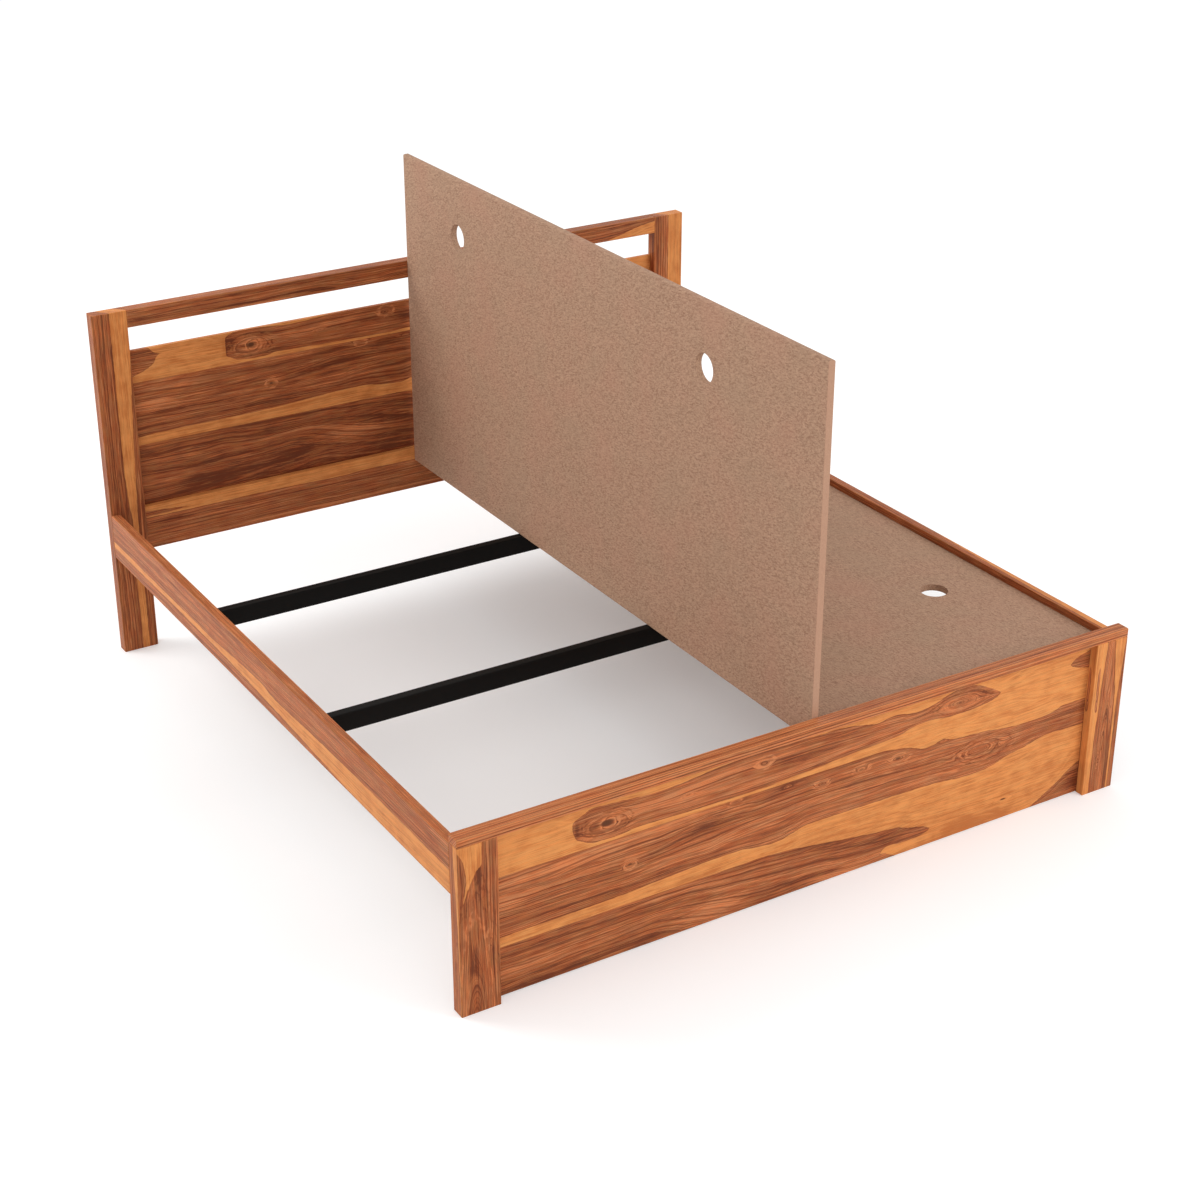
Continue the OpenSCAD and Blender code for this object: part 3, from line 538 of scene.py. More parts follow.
PLANK_FIGURES = {
    "top": {
        "heart": [{"under": [(-660, 372), (-643, 356), (-636, 340), (-622, 331), (-586, 318), (-526, 316),
              (-478, 322), (-430, 321), (-370, 319), (-250, 317), (-125, 316), (-70, 320), (0, 322),
              (100, 329), (200, 334), (250, 338), (305, 350), (350, 351), (400, 345), (450, 344), (500, 347),
              (540, 354), (560, 366), (600, 400), (900, 430)], "over": [(-900, 350), (-700, 360),
              (-650, 378), (-643, 385), (-615, 398), (-592, 406), (-560, 404), (-532, 403), (-480, 398),
              (-430, 395), (-380, 397), (-340, 400), (-280, 407), (-200, 412), (-100, 414), (0, 409),
              (100, 405), (150, 395), (185, 390), (235, 396), (270, 390), (305, 386), (350, 392), (400, 407),
              (440, 414), (480, 407), (520, 390), (550, 373), (565, 360), (620, 330), (900, 330)],
              "from": -645},
            {"under": [(700, 420), (775, 385), (790, 372), (840, 358), (900, 350)], "over": [(700, 360),
              (775, 378), (800, 394), (840, 405), (900, 420)]}],
        "lines": [[(-700, 330), (-640, 335), (-590, 319), (-526, 316), (-478, 322), (-430, 321), (-320, 319),
              (-200, 317), (-125, 316), (-70, 320), (0, 322), (100, 329), (200, 334), (250, 338), (305, 350),
              (350, 351), (450, 344), (560, 364), (700, 340), (900, 330)],
            [(-700, 352), (-600, 345), (-500, 346), (-440, 343), (-380, 337), (-330, 334), (-200, 332),
              (-100, 334), (0, 340), (100, 347), (200, 352), (300, 361), (400, 360), (500, 361), (560, 365),
              (700, 360), (900, 352)],
            [(-700, 380), (-600, 388), (-480, 384), (-440, 382), (-390, 384), (-340, 388), (-250, 392),
              (-130, 395), (0, 390), (100, 382), (200, 374), (300, 368), (360, 378), (430, 392), (500, 380),
              (560, 367), (700, 385), (900, 380)],
            [(-700, 405), (-640, 386), (-592, 406), (-532, 403), (-480, 398), (-430, 395), (-380, 397),
              (-340, 400), (-280, 407), (-200, 412), (0, 409), (150, 395), (235, 396), (305, 386),
              (350, 392), (440, 414), (520, 390), (560, 370), (700, 415), (900, 410)]],
        "knots": [(-556, 357, 80, 35, 42, 0.0), (-557, 357, 52, 27, 15, 0.85), (-139, 380, 30, 16, 16, 0.3),
            (432, 374, 92, 27, 34, 0.0), (-345, 362, 24, 6, 6, 0.2)],
        "rings": [(-549, 355, 23, 21, 0.2, -1.3), (-549, 356, 14, 12, 0.22, -0.9),
            (-550, 356, 18, 16, 0.14, 0.9), (-558, 357, 66, 32, 0.07, 0.6), (-558, 357, 54, 28, 0.08, 0.4),
            (-558, 357, 42, 26, 0.08, 0.4), (-136, 382, 25, 16, 0.3, -0.9), (-138, 381, 12, 7, 0.5, 0.35),
            (432, 374, 34, 11, 0.2, 0.45), (434, 375, 56, 19, 0.12, -0.35), (437, 375, 74, 26, 0.09, 0.45),
            (440, 376, 92, 32, 0.07, 0.35)],
        "smudges": [(-634, 362, 9, 27, 1.1), (-612, 370, 14, 24, 0.6), (-583, 357, 14, 5, 0.9),
            (-535, 392, 50, 9, 0.35), (-400, 362, 95, 14, -0.45), (-280, 374, 130, 13, -0.3),
            (-60, 362, 70, 24, 0.4), (-190, 366, 30, 8, 0.4), (60, 372, 120, 30, 0.28),
            (480, 378, 60, 20, 0.22), (815, 380, 40, 22, 0.4), (395, 325, 9, 5, 0.35)],
        "seed": 1.7, "spacing": 11.0, "wander": 4.0, "lift": 0.26,
    },
    "middle": {
        "heart": [{"under": [(-912, 150), (-880, 152), (-827, 154), (-700, 155), (-550, 156), (-450, 160),
              (-350, 165), (-275, 169), (-210, 169), (-150, 161), (-100, 157), (-50, 167), (0, 177),
              (100, 176), (200, 174), (350, 171), (400, 167), (450, 161), (500, 160), (550, 165), (600, 180),
              (650, 187), (690, 197), (725, 202), (840, 199)], "over": [(-912, 330), (0, 318), (200, 309),
              (240, 302), (280, 295), (310, 285), (335, 278), (360, 281), (390, 287), (410, 280), (450, 275),
              (525, 270), (575, 262), (640, 257), (700, 257), (740, 262), (775, 271), (840, 271)]}],
        "lines": [[(-912, 152), (-827, 154), (-700, 155), (-550, 156), (-450, 160), (-350, 165), (-275, 169),
              (-210, 169), (-150, 161), (-100, 157), (-50, 167), (0, 177), (100, 176), (200, 174),
              (350, 171), (450, 161), (500, 160), (550, 165), (600, 180), (650, 187), (725, 202),
              (840, 199)],
            [(-912, 196), (-700, 190), (-600, 188), (-500, 190), (-400, 192), (-300, 190), (-200, 192),
              (-100, 188), (-50, 195), (0, 205), (200, 203), (350, 196), (450, 186), (550, 190), (620, 205),
              (700, 214), (840, 212)],
            [(-912, 222), (-640, 212), (-500, 205), (-440, 211), (-340, 213), (-290, 213), (-240, 222),
              (-190, 228), (-90, 236), (0, 240), (200, 236), (350, 226), (450, 222), (560, 222), (640, 226),
              (720, 232), (840, 230)],
            [(-912, 250), (-740, 246), (-600, 244), (-500, 244), (-400, 254), (-340, 265), (-290, 272),
              (-240, 268), (-140, 262), (0, 262), (150, 262), (300, 256), (420, 250), (520, 252), (600, 244),
              (700, 244), (840, 250)],
            [(-912, 276), (-790, 268), (-690, 263), (-590, 269), (-490, 273), (-390, 279), (-290, 287),
              (-240, 294), (-205, 304), (-150, 290), (-70, 296), (0, 292), (100, 292), (200, 290),
              (260, 290), (335, 276), (390, 284), (450, 273), (575, 261), (700, 256), (840, 268)],
            [(-912, 306), (-500, 303), (-200, 316), (0, 310), (200, 307), (280, 295), (335, 279), (390, 288),
              (450, 276), (575, 263), (700, 258), (775, 272), (840, 272)]],
        "knots": [(-497, 232, 24, 12, 12, 0.8), (29, 273, 27, 13, 13, 0.45), (143, 277, 25, 11, 11, 0.4),
            (252, 273, 34, 13, 15, 0.65), (390, 281, 24, 10, 9, 0.1), (498, 223, 100, 34, 52, 0.0)],
        "swells": [(-210, 300, 34, 12, 12), (-70, 294, 24, 10, 10)],
        "rings": [(-497, 232, 17, 13, 0.4, -0.9), (29, 272, 24, 13, 0.3, -0.8),
            (143, 276, 24, 13, 0.3, -0.7), (258, 272, 30, 13, 0.28, -0.8), (-213, 300, 20, 11, 0.4, -0.8),
            (498, 223, 26, 12, 0.22, 0.6), (503, 223, 40, 18, 0.16, -0.6), (508, 223, 54, 25, 0.12, 0.55),
            (514, 224, 68, 31, 0.1, -0.45), (519, 225, 82, 37, 0.08, 0.45), (525, 226, 98, 43, 0.07, -0.3)],
        "smudges": [(-285, 256, 50, 8, 0.55), (-118, 285, 42, 7, 0.6), (-420, 236, 90, 14, 0.14),
            (-660, 218, 170, 22, 0.12), (-850, 240, 62, 17, -1.2), (-690, 285, 160, 3, -0.6),
            (-560, 279, 120, 3, -0.5), (-640, 176, 200, 3, 0.35), (252, 272, 18, 7, 0.4),
            (-760, 286, 60, 5, -0.45), (-480, 243, 24, 7, -0.6), (-250, 210, 220, 7, -0.25),
            (560, 236, 200, 24, -0.12), (770, 238, 70, 26, 0.35), (225, 244, 20, 4, -0.8),
            (429, 185, 14, 5, -0.9), (-136, 137, 7, 4, 0.7), (-400, 176, 420, 4, 0.25)],
        "seed": 4.3, "spacing": 10.0, "wander": 6.5, "lift": 0.16,
    },
    "bottom": {
        "heart": [{"under": [(-912, -150), (0, -150), (100, -90), (200, -20), (240, 37), (275, 33),
              (310, 32), (345, 36), (372, 50), (420, 90), (560, 150), (850, 150)], "over": [(-912, 175),
              (-500, 150), (-200, 132), (-70, 124), (0, 115), (100, 100), (200, 87), (260, 80), (300, 68),
              (340, 58), (362, 48), (385, 30), (450, -40), (850, -60)]},
            {"over": [(-900, -120), (0, -80), (120, 20), (200, 22), (250, 8), (290, -20), (500, -100),
              (850, -120)]},
            {"over": [(300, -160), (600, -120), (685, 0), (725, 21), (775, 50), (820, 80), (850, 90)],
              "from": 600}],
        "lines": [[(-912, -58), (-748, -47), (-612, -35), (-500, -19), (-420, -8), (-372, 0), (-320, -4),
              (-250, -14), (0, -30), (850, -60)],
            [(-912, 12), (-640, 20), (-516, 24), (-450, 22), (-400, 13), (-372, 5), (-330, -1), (-250, -8),
              (-150, -14), (0, -20), (150, -26), (300, -20), (500, -20), (700, -40), (850, -10)],
            [(-912, 48), (-740, 42), (-640, 50), (-540, 51), (-490, 55), (-440, 58), (-400, 56), (-350, 46),
              (-300, 34), (-250, 22), (-200, 12), (-100, 4), (0, 8), (80, 2), (150, -8), (250, 4), (350, 14),
              (500, 16), (650, -8), (730, 8), (850, 56)],
            [(-912, 104), (-790, 104), (-690, 104), (-590, 100), (-490, 97), (-390, 98), (-340, 97),
              (-290, 92), (-240, 85), (-190, 80), (-140, 73), (-90, 66), (-40, 58), (40, 50), (110, 40),
              (200, 36), (300, 34), (400, 40), (550, 42), (650, 20), (720, 30), (850, 95)],
            [(-912, 135), (-500, 130), (-200, 124), (0, 112), (100, 99), (200, 86), (260, 79), (340, 58),
              (420, 52), (600, 56), (700, 50), (780, 76), (850, 120)]],
        "knots": [(597, 57, 34, 9, 0, 1.0)],
        "smudges": [(300, 18, 90, 8, -1.2), (-255, 36, 82, 19, -1.25), (430, 18, 80, 22, 1.1),
            (505, 24, 72, 19, 0.9), (585, 18, 50, 16, 0.7), (-740, -10, 70, 14, 0.5),
            (-470, -8, 70, 16, 0.5), (-660, 60, 200, 9, -0.28), (-450, 72, 110, 6, -0.4),
            (-455, 14, 70, 7, 0.6), (-620, -38, 120, 8, 0.5), (-720, 40, 80, 6, 0.35),
            (-60, 20, 120, 24, 0.35), (40, 44, 90, 8, -0.5), (110, 12, 60, 8, -0.4), (250, 58, 100, 12, 0.5),
            (180, 66, 80, 10, 0.28), (180, 34, 130, 7, -0.6), (90, 8, 90, 8, -0.7), (-600, -8, 140, 10, 0.3),
            (-820, -20, 60, 26, -0.2), (-120, -30, 110, 26, 0.5), (845, 30, 50, 40, 0.7)],
        "seed": 7.9, "spacing": 12.0, "wander": 7.5, "lift": -0.06,
    },
}
FOOT_SEAMS = (0.002, 0.1285, 0.3085, 0.4275)
FOOT_PLANK_END, FOOT_SCREW_OUT, SCREW_FROM_SEAM = 0.8568, 0.8495, 0.024
SCREW_HEAD_HOLE, SINK_DEPTH = 0.00465, 0.003
PLANK_ARRIS = 0.0005


def bore(piece, centre, radius, depth, axis, sides=32):
    """A round hole bored about a centre, along one axis."""
    bpy.ops.object.select_all(action="DESELECT")
    turn = {"x": (0, math.pi / 2, 0), "y": (math.pi / 2, 0, 0), "z": (0, 0, 0)}[axis]
    bpy.ops.mesh.primitive_cylinder_add(
        vertices=sides, radius=radius, depth=depth, location=centre, rotation=turn)
    bpy.ops.object.transform_apply(location=True, rotation=True, scale=True)
    cut_away(piece, bpy.context.object)


def sink_screw(piece, place, axis):
    """A countersink in which the head of a wood screw lies flush."""
    bore(piece, place, SCREW_HEAD_HOLE, 2 * SINK_DEPTH, axis)


def lay_plank(end, row, seams, back, half_length, screw_out, figure):
    """One plank of a panel, in its row counted from the lowest, screwed on from behind."""
    name = ("bottom", "middle", "top")[row]
    low, high = (-half_length, back - PLANK_THICK, seams[row]), (half_length, back, seams[row + 1])
    plank = squared_block(end + "_plank_" + name + "_sheesham", low, high)
    for side in (-1, 1):
        for height in (low[2] + SCREW_FROM_SEAM, high[2] - SCREW_FROM_SEAM):
            sink_screw(plank, (side * screw_out, back, height), "y")
    ease_arrises(plank, PLANK_ARRIS, 2)
    grain = {key: PLANK_FIGURES[name][key] for key in ("seed", "spacing", "wander")}
    wood = sheesham("sheesham_" + end + "_" + name, low, high, "xzy", figure, **grain)
    finish_piece(plank, wood, end + "_plank_" + name)


for row, name in enumerate(("bottom", "middle", "top")):
    lay_plank("footboard", row, FOOT_SEAMS, FOOT_BACK, FOOT_PLANK_END, FOOT_SCREW_OUT, PLANK_FIGURES[name])


# Cap rail: one straight-grained sheesham board that lies on both legs and on the panel's top
# edge, held by the dowels, with its front arris well rounded by sanding.

CAP_TOP, CAP_ARRIS = 0.450, 0.0024
CAP_FIGURE = {
    "heart": [{"under": [(-940, 300), (940, 300)]}],
    "lines": [[(-940, 430), (-300, 432), (300, 430), (940, 431)], [(-940, 455), (0, 456), (940, 454)],
              [(-940, 474), (-300, 473), (300, 476), (940, 473)], [(-940, 492), (0, 491), (940, 493)]],
    # Long lines along the cap. The lighter one at 450.5, on the front arris, is a painted highlight.
    "smudges": [(0, across, 3000, height, darkness) for across, height, darkness in (
        (434, 1.6, 1.2), (441, 2.0, 0.9), (446.5, 1.0, 0.7), (454.5, 1.2, 1.0), (465.5, 2.8, 1.4),
        (473, 1.1, 0.9), (485, 3.5, 0.8), (450.5, 1.6, -0.9))],
    "lift": 0.74,
}
low, high = (-BED_SIDE, FOOT_FRONT, LEG_TOP), (BED_SIDE, FOOT_BACK, CAP_TOP)
cap = squared_block("footboard_cap_rail_sheesham", low, high)
ease_arrises(cap, CAP_ARRIS, 4)
wood = sheesham("sheesham_cap_rail", low, high, "xzy", CAP_FIGURE,
                seed=11.2, spacing=7.0, wander=1.6, slant=1.15)
finish_piece(cap, wood, "footboard_cap_rail")


# Headboard posts: two sheesham posts from the floor to the top rail, rebated at the back for
# the planks. The real posts are mortised for both rails; these pieces are not cut for them.
# A slanting stripe of sapwood runs down each front.

POST_INNER, POST_TOP = 0.841, 1.003
HEAD_FRONT, HEAD_BACK = 0.990, 1.027
RAIL_UNDER, RAIL_TOP = 0.298, 0.425
HEAD_PANEL_TOP, HEAD_REBATE = 0.8785, 0.0151
POST_FIGURES = {
    "left": {
        "heart": [{"over": [(0, -884), (300, -884), (387, -880), (450, -886), (600, -891), (1003, -890)]},
            {"under": [(0, -866), (373, -865), (600, -857), (793, -847), (900, -841), (1003, -835)]}],
        "lines": [[(0, -936), (500, -938), (1003, -936)],
            [(0, -884), (300, -884), (387, -880), (450, -886), (600, -891), (1003, -890)],
            [(0, -866), (373, -865), (600, -857), (793, -847), (1003, -835)]],
        "smudges": [(500, -894, 500, 3, 0.35), (430, -862, 260, 3.5, 0.45), (700, -930, 300, 4, -0.3),
            (250, -915, 250, 4, -0.25)],
        "lift": -0.12,
    },
    "right": {
        "heart": [{"over": [(0, 886), (500, 888), (1003, 890)]}],
        "lines": [[(0, 850), (1003, 850)], [(0, 884), (500, 886), (1003, 888)], [(0, 930), (1003, 932)]],
        "smudges": [(700, 876, 500, 3, -0.35), (850, 852, 300, 3, 0.3)],
    },
}
for side, name in ((-1, "left"), (1, "right")):
    node = "headboard_post_" + name
    post, low, high = rebated_upright(node, side, (POST_INNER, HEAD_REBATE), (HEAD_FRONT, HEAD_BACK),
                                      POST_TOP, (RAIL_TOP, HEAD_PANEL_TOP))
    wood = sheesham("sheesham_post_" + name, low, high, "zxy", POST_FIGURES[name],
                    seed=15.0 + side, spacing=8.0, wander=6.0)
    finish_piece(post, wood, node)


# Headboard rails: the top rail is as deep as the posts, the bottom rail is flush with their
# backs and carries the panel. Both are sheesham, straight in the grain and tenoned to the posts.

TOP_RAIL_UNDER, BOTTOM_RAIL_THICK = 0.9535, 0.029
TENON_THICK, TENON_LENGTH, TENON_SHOULDER = 0.012, 0.030, 0.008
RAILS = {
    "top": (HEAD_FRONT, TOP_RAIL_UNDER, POST_TOP, TENON_SHOULDER, "sheesham_brown"),
    "bottom": (HEAD_BACK - BOTTOM_RAIL_THICK, RAIL_UNDER, RAIL_TOP, 2 * TENON_SHOULDER, "sheesham_golden"),
}
RAIL_FIGURES = {
    "top": {
        "heart": [{"under": [(-841, 800), (600, 925), (660, 950), (676, 957), (723, 967), (751, 975),
              (784, 983), (841, 992)]}],
        "lines": [[(-841, 957), (-600, 958), (-500, 962), (-400, 966), (-300, 969), (-250, 965), (-200, 957),
              (-100, 957), (-15, 968), (100, 962), (400, 950), (676, 957), (841, 992)],
            [(-841, 980), (-500, 984), (-300, 988), (-150, 982), (0, 986), (400, 978), (841, 1000)],
            [(-841, 1005), (0, 1004), (841, 1012)]],
        "smudges": [(-100, 961, 75, 4, -0.8), (-480, 964, 90, 2.2, 0.9), (-330, 968, 80, 2.5, 1.0),
            (-250, 963, 50, 3, 0.8), (-440, 957, 130, 2.6, -0.8), (-700, 972, 160, 3, 0.5),
            (-560, 985, 200, 3, -0.4), (300, 985, 300, 6, -0.3), (-560, 1012, 300, 10, -0.2)],
        "lift": -0.12,
    },
    "bottom": {
        "heart": [{"over": [(-841, 392), (-700, 391), (-500, 392), (-350, 390), (-250, 388), (-150, 391),
              (0, 390), (841, 388)]},
            {"under": [(-841, 394), (-780, 396), (-700, 399), (841, 399)], "over": [(-841, 412), (-780, 407),
              (-700, 399), (-650, 390), (841, 390)]}],
        "lines": [[(-841, 305), (0, 308), (841, 304)], [(-841, 340), (-300, 350), (841, 344)],
            [(-841, 366), (0, 362), (841, 368)], [(-841, 392), (-300, 389), (841, 390)],
            [(-841, 425), (841, 425)]],
        "smudges": [(-761, 374.5, 52, 6, 0.9), (-320, 350, 70, 4, 0.6), (-560, 355, 200, 4, 0.3),
            (-640, 362, 120, 2.5, -0.6), (0, 311, 1600, 4, -0.6), (-100, 376, 160, 5, -0.3)],
        "lift": -0.02,
    },
}


def draw_out_tenon(rail, side, tall):
    """Extrudes the end face of a rail, narrows it to the tenon and draws it out."""
    pick_up(rail)
    bpy.ops.object.mode_set(mode="EDIT")
    bpy.ops.mesh.select_mode(type="FACE")
    bpy.ops.mesh.select_all(action="DESELECT")
    shape = bmesh.from_edit_mesh(rail.data)
    end = max(shape.faces, key=lambda f: side * f.calc_center_median().x)
    end.select = True
    middle = end.calc_center_median()
    deep, high = (max(v.co[i] for v in end.verts) - min(v.co[i] for v in end.verts) for i in (1, 2))
    bmesh.update_edit_mesh(rail.data)
    bpy.ops.mesh.extrude_region_move(TRANSFORM_OT_translate={"value": (0, 0, 0)})
    bpy.ops.transform.resize(value=(1, TENON_THICK / deep, tall / high), center_override=middle)
    bpy.ops.mesh.extrude_region_move(TRANSFORM_OT_translate={"value": (side * TENON_LENGTH, 0, 0)})
    bpy.ops.object.mode_set(mode="OBJECT")


for name, (front, under, top, shoulder, slot) in RAILS.items():
    node = "headboard_" + name + "_rail"
    low, high = (-POST_INNER, front, under), (POST_INNER, HEAD_BACK, top)
    rail = squared_block(node + "_sheesham", low, high)
    for side in (-1, 1):
        draw_out_tenon(rail, side, top - under - 2 * shoulder)
    ease_arrises(rail, ARRIS)
    wood = sheesham("sheesham_" + node, low, high, "xzy", RAIL_FIGURES[name],
                    seed=19.0 + len(name), spacing=5.5, wander=3.0)
    finish_piece(rail, wood, node)


# Headboard panel: three planks like the footboard's, sawn further along the same boards, so
# the same knots and lines show again a hand's breadth to the side. Screwed into the rebates.
# Their wood is set darker than the footboard's, as painted shade.

HEAD_SEAMS = (0.425, 0.603, 0.786, 0.8785)
HEAD_PLANK_END, HEAD_SCREW_OUT = 0.8558, 0.8485
FURTHER_ALONG, FURTHER_UP = {"top": 74.0, "middle": 68.0, "bottom": 72.0}, 476.5
HEAD_HEART_FROM = -558
# The tone of each head plank, lowered below its footboard plank's as painted shade.
HEAD_LIFT_WITH_PAINTED_SHADE = {"top": -0.08, "middle": -0.15, "bottom": -0.30}
CORNER_HEART = {
    "under": [(-870, 795), (-840, 802), (-800, 815), (-770, 832), (-744, 857)],
    "over": [(-870, 915), (-790, 888), (-744, 857)],
    "to": -741,
}
# A thin dark line along the bottom plank's lower edge, over the bottom rail: painted contact shadow.
PAINTED_SEAM_SHADOW = (0, 1000 * HEAD_SEAMS[0], 5000, 2.2, 1.6)


def moved_figure(figure, along, up):
    """The same figure, further along the board and higher up."""
    def moved(marks):
        return [(p + along, q + up, *rest) for p, q, *rest in marks]

    def moved_lobe(lobe):
        return {key: moved(edge) if isinstance(edge, list) else edge + along for key, edge in lobe.items()}
    return {
        "heart": [moved_lobe(lobe) for lobe in figure["heart"]],
        "lines": [moved(points) for points in figure["lines"]],
        **{key: moved(figure.get(key, ())) for key in ("knots", "swells", "smudges", "rings")},
    }


for row, name in enumerate(("bottom", "middle", "top")):
    figure = moved_figure(PLANK_FIGURES[name], FURTHER_ALONG[name], FURTHER_UP)
    figure["lift"] = HEAD_LIFT_WITH_PAINTED_SHADE[name]
    if name == "top":
        figure["heart"][0]["from"] = HEAD_HEART_FROM
        figure["heart"].append(CORNER_HEART)
    if name == "bottom":
        # The bottom plank carries the painted contact shadow at its lower edge.
        figure["smudges"].append(PAINTED_SEAM_SHADOW)
    lay_plank("headboard", row, HEAD_SEAMS, HEAD_BACK, HEAD_PLANK_END, HEAD_SCREW_OUT, figure)


# Side rails: two long sheesham boards between the legs and the posts, flush with their outer
# faces and held by the corner brackets. Their lower edge keeps a band of sapwood.

RAIL_INNER, RAIL_ARRIS = 0.9155, 0.002
SIDE_FIGURES = {
    "left": {
        "heart": [{"under": [(-990, 359), (-600, 361), (-300, 357), (-100, 352), (0, 361), (100, 358),
              (300, 349), (990, 348)]},
            {"over": [(-990, 290), (-600, 300), (-500, 303), (0, 326), (300, 333), (990, 330)]}],
        "lines": [[(-990, 288), (-600, 298), (-500, 301), (0, 320), (300, 322), (990, 318)],
            [(-990, 330), (-300, 330), (0, 343), (300, 341), (990, 340)],
            [(-990, 359), (-600, 361), (-300, 357), (-100, 352), (0, 361), (300, 349), (990, 348)],
            [(-990, 388), (-300, 392), (300, 384), (990, 388)], [(-990, 420), (0, 418), (990, 421)]],
        "smudges": [(-300, 398, 420, 5, -0.3), (500, 395, 320, 6, 0.3), (-600, 372, 300, 4, 0.3),
            (500, 312, 400, 6, 0.35)],
        "lift": 0.22,
    },
    "right": {
        "heart": [{"over": [(-990, 433), (-700, 436), (-500, 440), (-350, 446), (0, 470), (990, 490)]}],
        "lines": [[(-990, 300), (0, 306), (990, 300)], [(-990, 360), (0, 366), (990, 352)],
            [(-990, 410), (0, 412), (990, 412)], [(-990, 433), (-500, 440), (0, 466), (990, 486)]],
        "smudges": [(-300, 350, 420, 8, -0.3), (400, 390, 320, 8, 0.3)],
    },
}
for side, name in ((-1, "left"), (1, "right")):
    node = "side_rail_" + name
    inner, outer = sorted((side * RAIL_INNER, side * BED_SIDE))
    low, high = (inner, FOOT_BACK, RAIL_UNDER), (outer, HEAD_FRONT, RAIL_TOP)
    rail = squared_block(node + "_sheesham", low, high)
    ease_arrises(rail, RAIL_ARRIS, 4)
    wood = sheesham("sheesham_" + node, low, high, "yzx", SIDE_FIGURES[name],
                    seed=27.0 + 2 * side, spacing=5.0, wander=4.0, slant=1.1)
    finish_piece(rail, wood, node)


# Battens: planed strips of golden wood screwed to the side rails' inner faces between the bar
# ends, so that the boards' outer edges rest at the height of the bars. Lacquered like the rest.

BATTEN_SCREWS, SCREW_FROM_END, BATTEN_ARRIS = 4, 0.040, 0.0009
BATTEN_BROWN, BATTEN_PALE = (0.42, 0.19, 0.070), (0.62, 0.32, 0.130)
BATTEN_LINE, PLANER_MARK = (0.28, 0.11, 0.04), (0.25, 0.11, 0.05)


def make_planed_batten():
    batten_wood, shader, place = start_material("planed_batten_wood", SATIN)
    x, along, z = split(place)
    fibre = put(place.tree, FIBRES, {"Along": along, "Across": z, "Depth": x, "Seed": 2.0})["Fibre"]
    rings = put(place.tree, GROWTH_RINGS, {"Run": x + z * 0.6, "Along": along, "Spacing": 4.0, "Seed": 5.0})
    planer_marks = cloud(stretched((2.4, 60.0, 60.0), (along, z, x)), 1.0)
    colour = blend(fade(fibre, 0.3, 0.7), BATTEN_BROWN, BATTEN_PALE)
    colour = blend(rings["Lines"] * 0.45, colour, BATTEN_LINE)
    colour = blend(fade(planer_marks, 0.55, 0.7) * 0.12, colour, PLANER_MARK)
    dress(shader, colour, fibre * 0.2 + 0.40, planer_marks + fibre, 0.35, 0.0005)
    return batten_wood


BATTEN_WOOD = make_planed_batten()
for side in ("left", "right"):
    for stretch in ("foot", "middle", "head"):
        node = "batten_" + side + "_" + stretch
        low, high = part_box(node)
        batten = squared_block(node + "_planed", low, high)
        screwed_face = max(low[0], high[0]) if side == "left" else min(low[0], high[0])
        gap = (high[1] - low[1] - 2 * SCREW_FROM_END) / (BATTEN_SCREWS - 1)
        for i in range(BATTEN_SCREWS):
            along, middle = low[1] + SCREW_FROM_END + i * gap, (low[2] + high[2]) / 2
            sink_screw(batten, (screwed_face, along, middle), "x")
        ease_arrises(batten, BATTEN_ARRIS, 2)
        finish_piece(batten, BATTEN_WOOD, node)


# Cross bars: two lengths of rectangular steel tube, powder-coated black, laid across the bed
# in bent saddles that are screwed to the side rails. A bolt holds each end.

BAR_WALL, BAR_CORNER, SMOOTH_UNDER = 0.002, 0.0028, 35
COAT_BLACK, DUST, DUST_SHARE = (0.006, 0.0056, 0.0052), (0.20, 0.19, 0.18), 0.012


def make_powder_coat():
    """Black powder coat: fine orange peel, with a little pale dust on faces that look up."""
    coat, shader, place = start_material("black_powder_coat", SATIN)
    mottle = cloud(place, 4.0, scale=14.0)
    up = split(add_node(place.tree, "NewGeometry", out="Normal"), 1.0)[2]
    settled = fade(up, 0.5, 1.0) * fade(mottle, 0.3, 0.7, 0.4, 1.0)
    colour = blend(settled * DUST_SHARE, COAT_BLACK, DUST)
    dress(shader, colour, fade(mottle, 0.2, 0.8, 0.46, 0.62), cloud(place, scale=620.0), 0.25, 0.0003)
    return coat


BLACK_STEEL = make_powder_coat()


def pick(piece, kind, is_picked):
    """Selects in edit mode only the edges or faces for which is_picked holds."""
    bpy.ops.mesh.select_mode(type=kind)
    bpy.ops.mesh.select_all(action="DESELECT")
    shape = bmesh.from_edit_mesh(piece.data)
    for part in shape.edges if kind == "EDGE" else shape.faces:
        part.select = is_picked(part)
    bmesh.update_edit_mesh(piece.data)


def round_long_edges(piece, axis, radius, segments):
    """Rounds the edges that run the length of a squared piece, and stays in edit mode."""
    pick_up(piece)
    bpy.ops.object.mode_set(mode="EDIT")
    pick(piece, "EDGE", lambda e: abs((e.verts[0].co - e.verts[1].co).normalized()[axis]) > 0.99)
    bpy.ops.mesh.bevel(offset=radius, segments=segments, affect="EDGES")


for end in ("foot", "head"):
    node = "cross_bar_" + end
    bar = squared_block(node + "_tube", *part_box(node))
    round_long_edges(bar, 0, BAR_CORNER, 4)
    pick(bar, "FACE", lambda face: abs(face.normal.x) > 0.99)
    bpy.ops.mesh.delete(type="FACE")
    bpy.ops.object.mode_set(mode="OBJECT")
    wall = bar.modifiers.new("wall", "SOLIDIFY")
    wall.thickness, wall.offset, wall.use_even_offset = BAR_WALL, -1.0, True
    bpy.ops.object.modifier_apply(modifier="wall")
    bpy.ops.object.shade_smooth_by_angle(angle=math.radians(SMOOTH_UNDER))
    finish_piece(bar, BLACK_STEEL, node)


# Saddles and corner brackets: bent and pressed steel plate, powder-coated black like the bars.
# The plates' cut edges and holes are broken slightly, as by tumbling.

PLATE_ARRIS, PLATE_SHARP, SAME_SPOT, NEARLY_FLAT = 0.0005, 40, 0.00001, 0.5

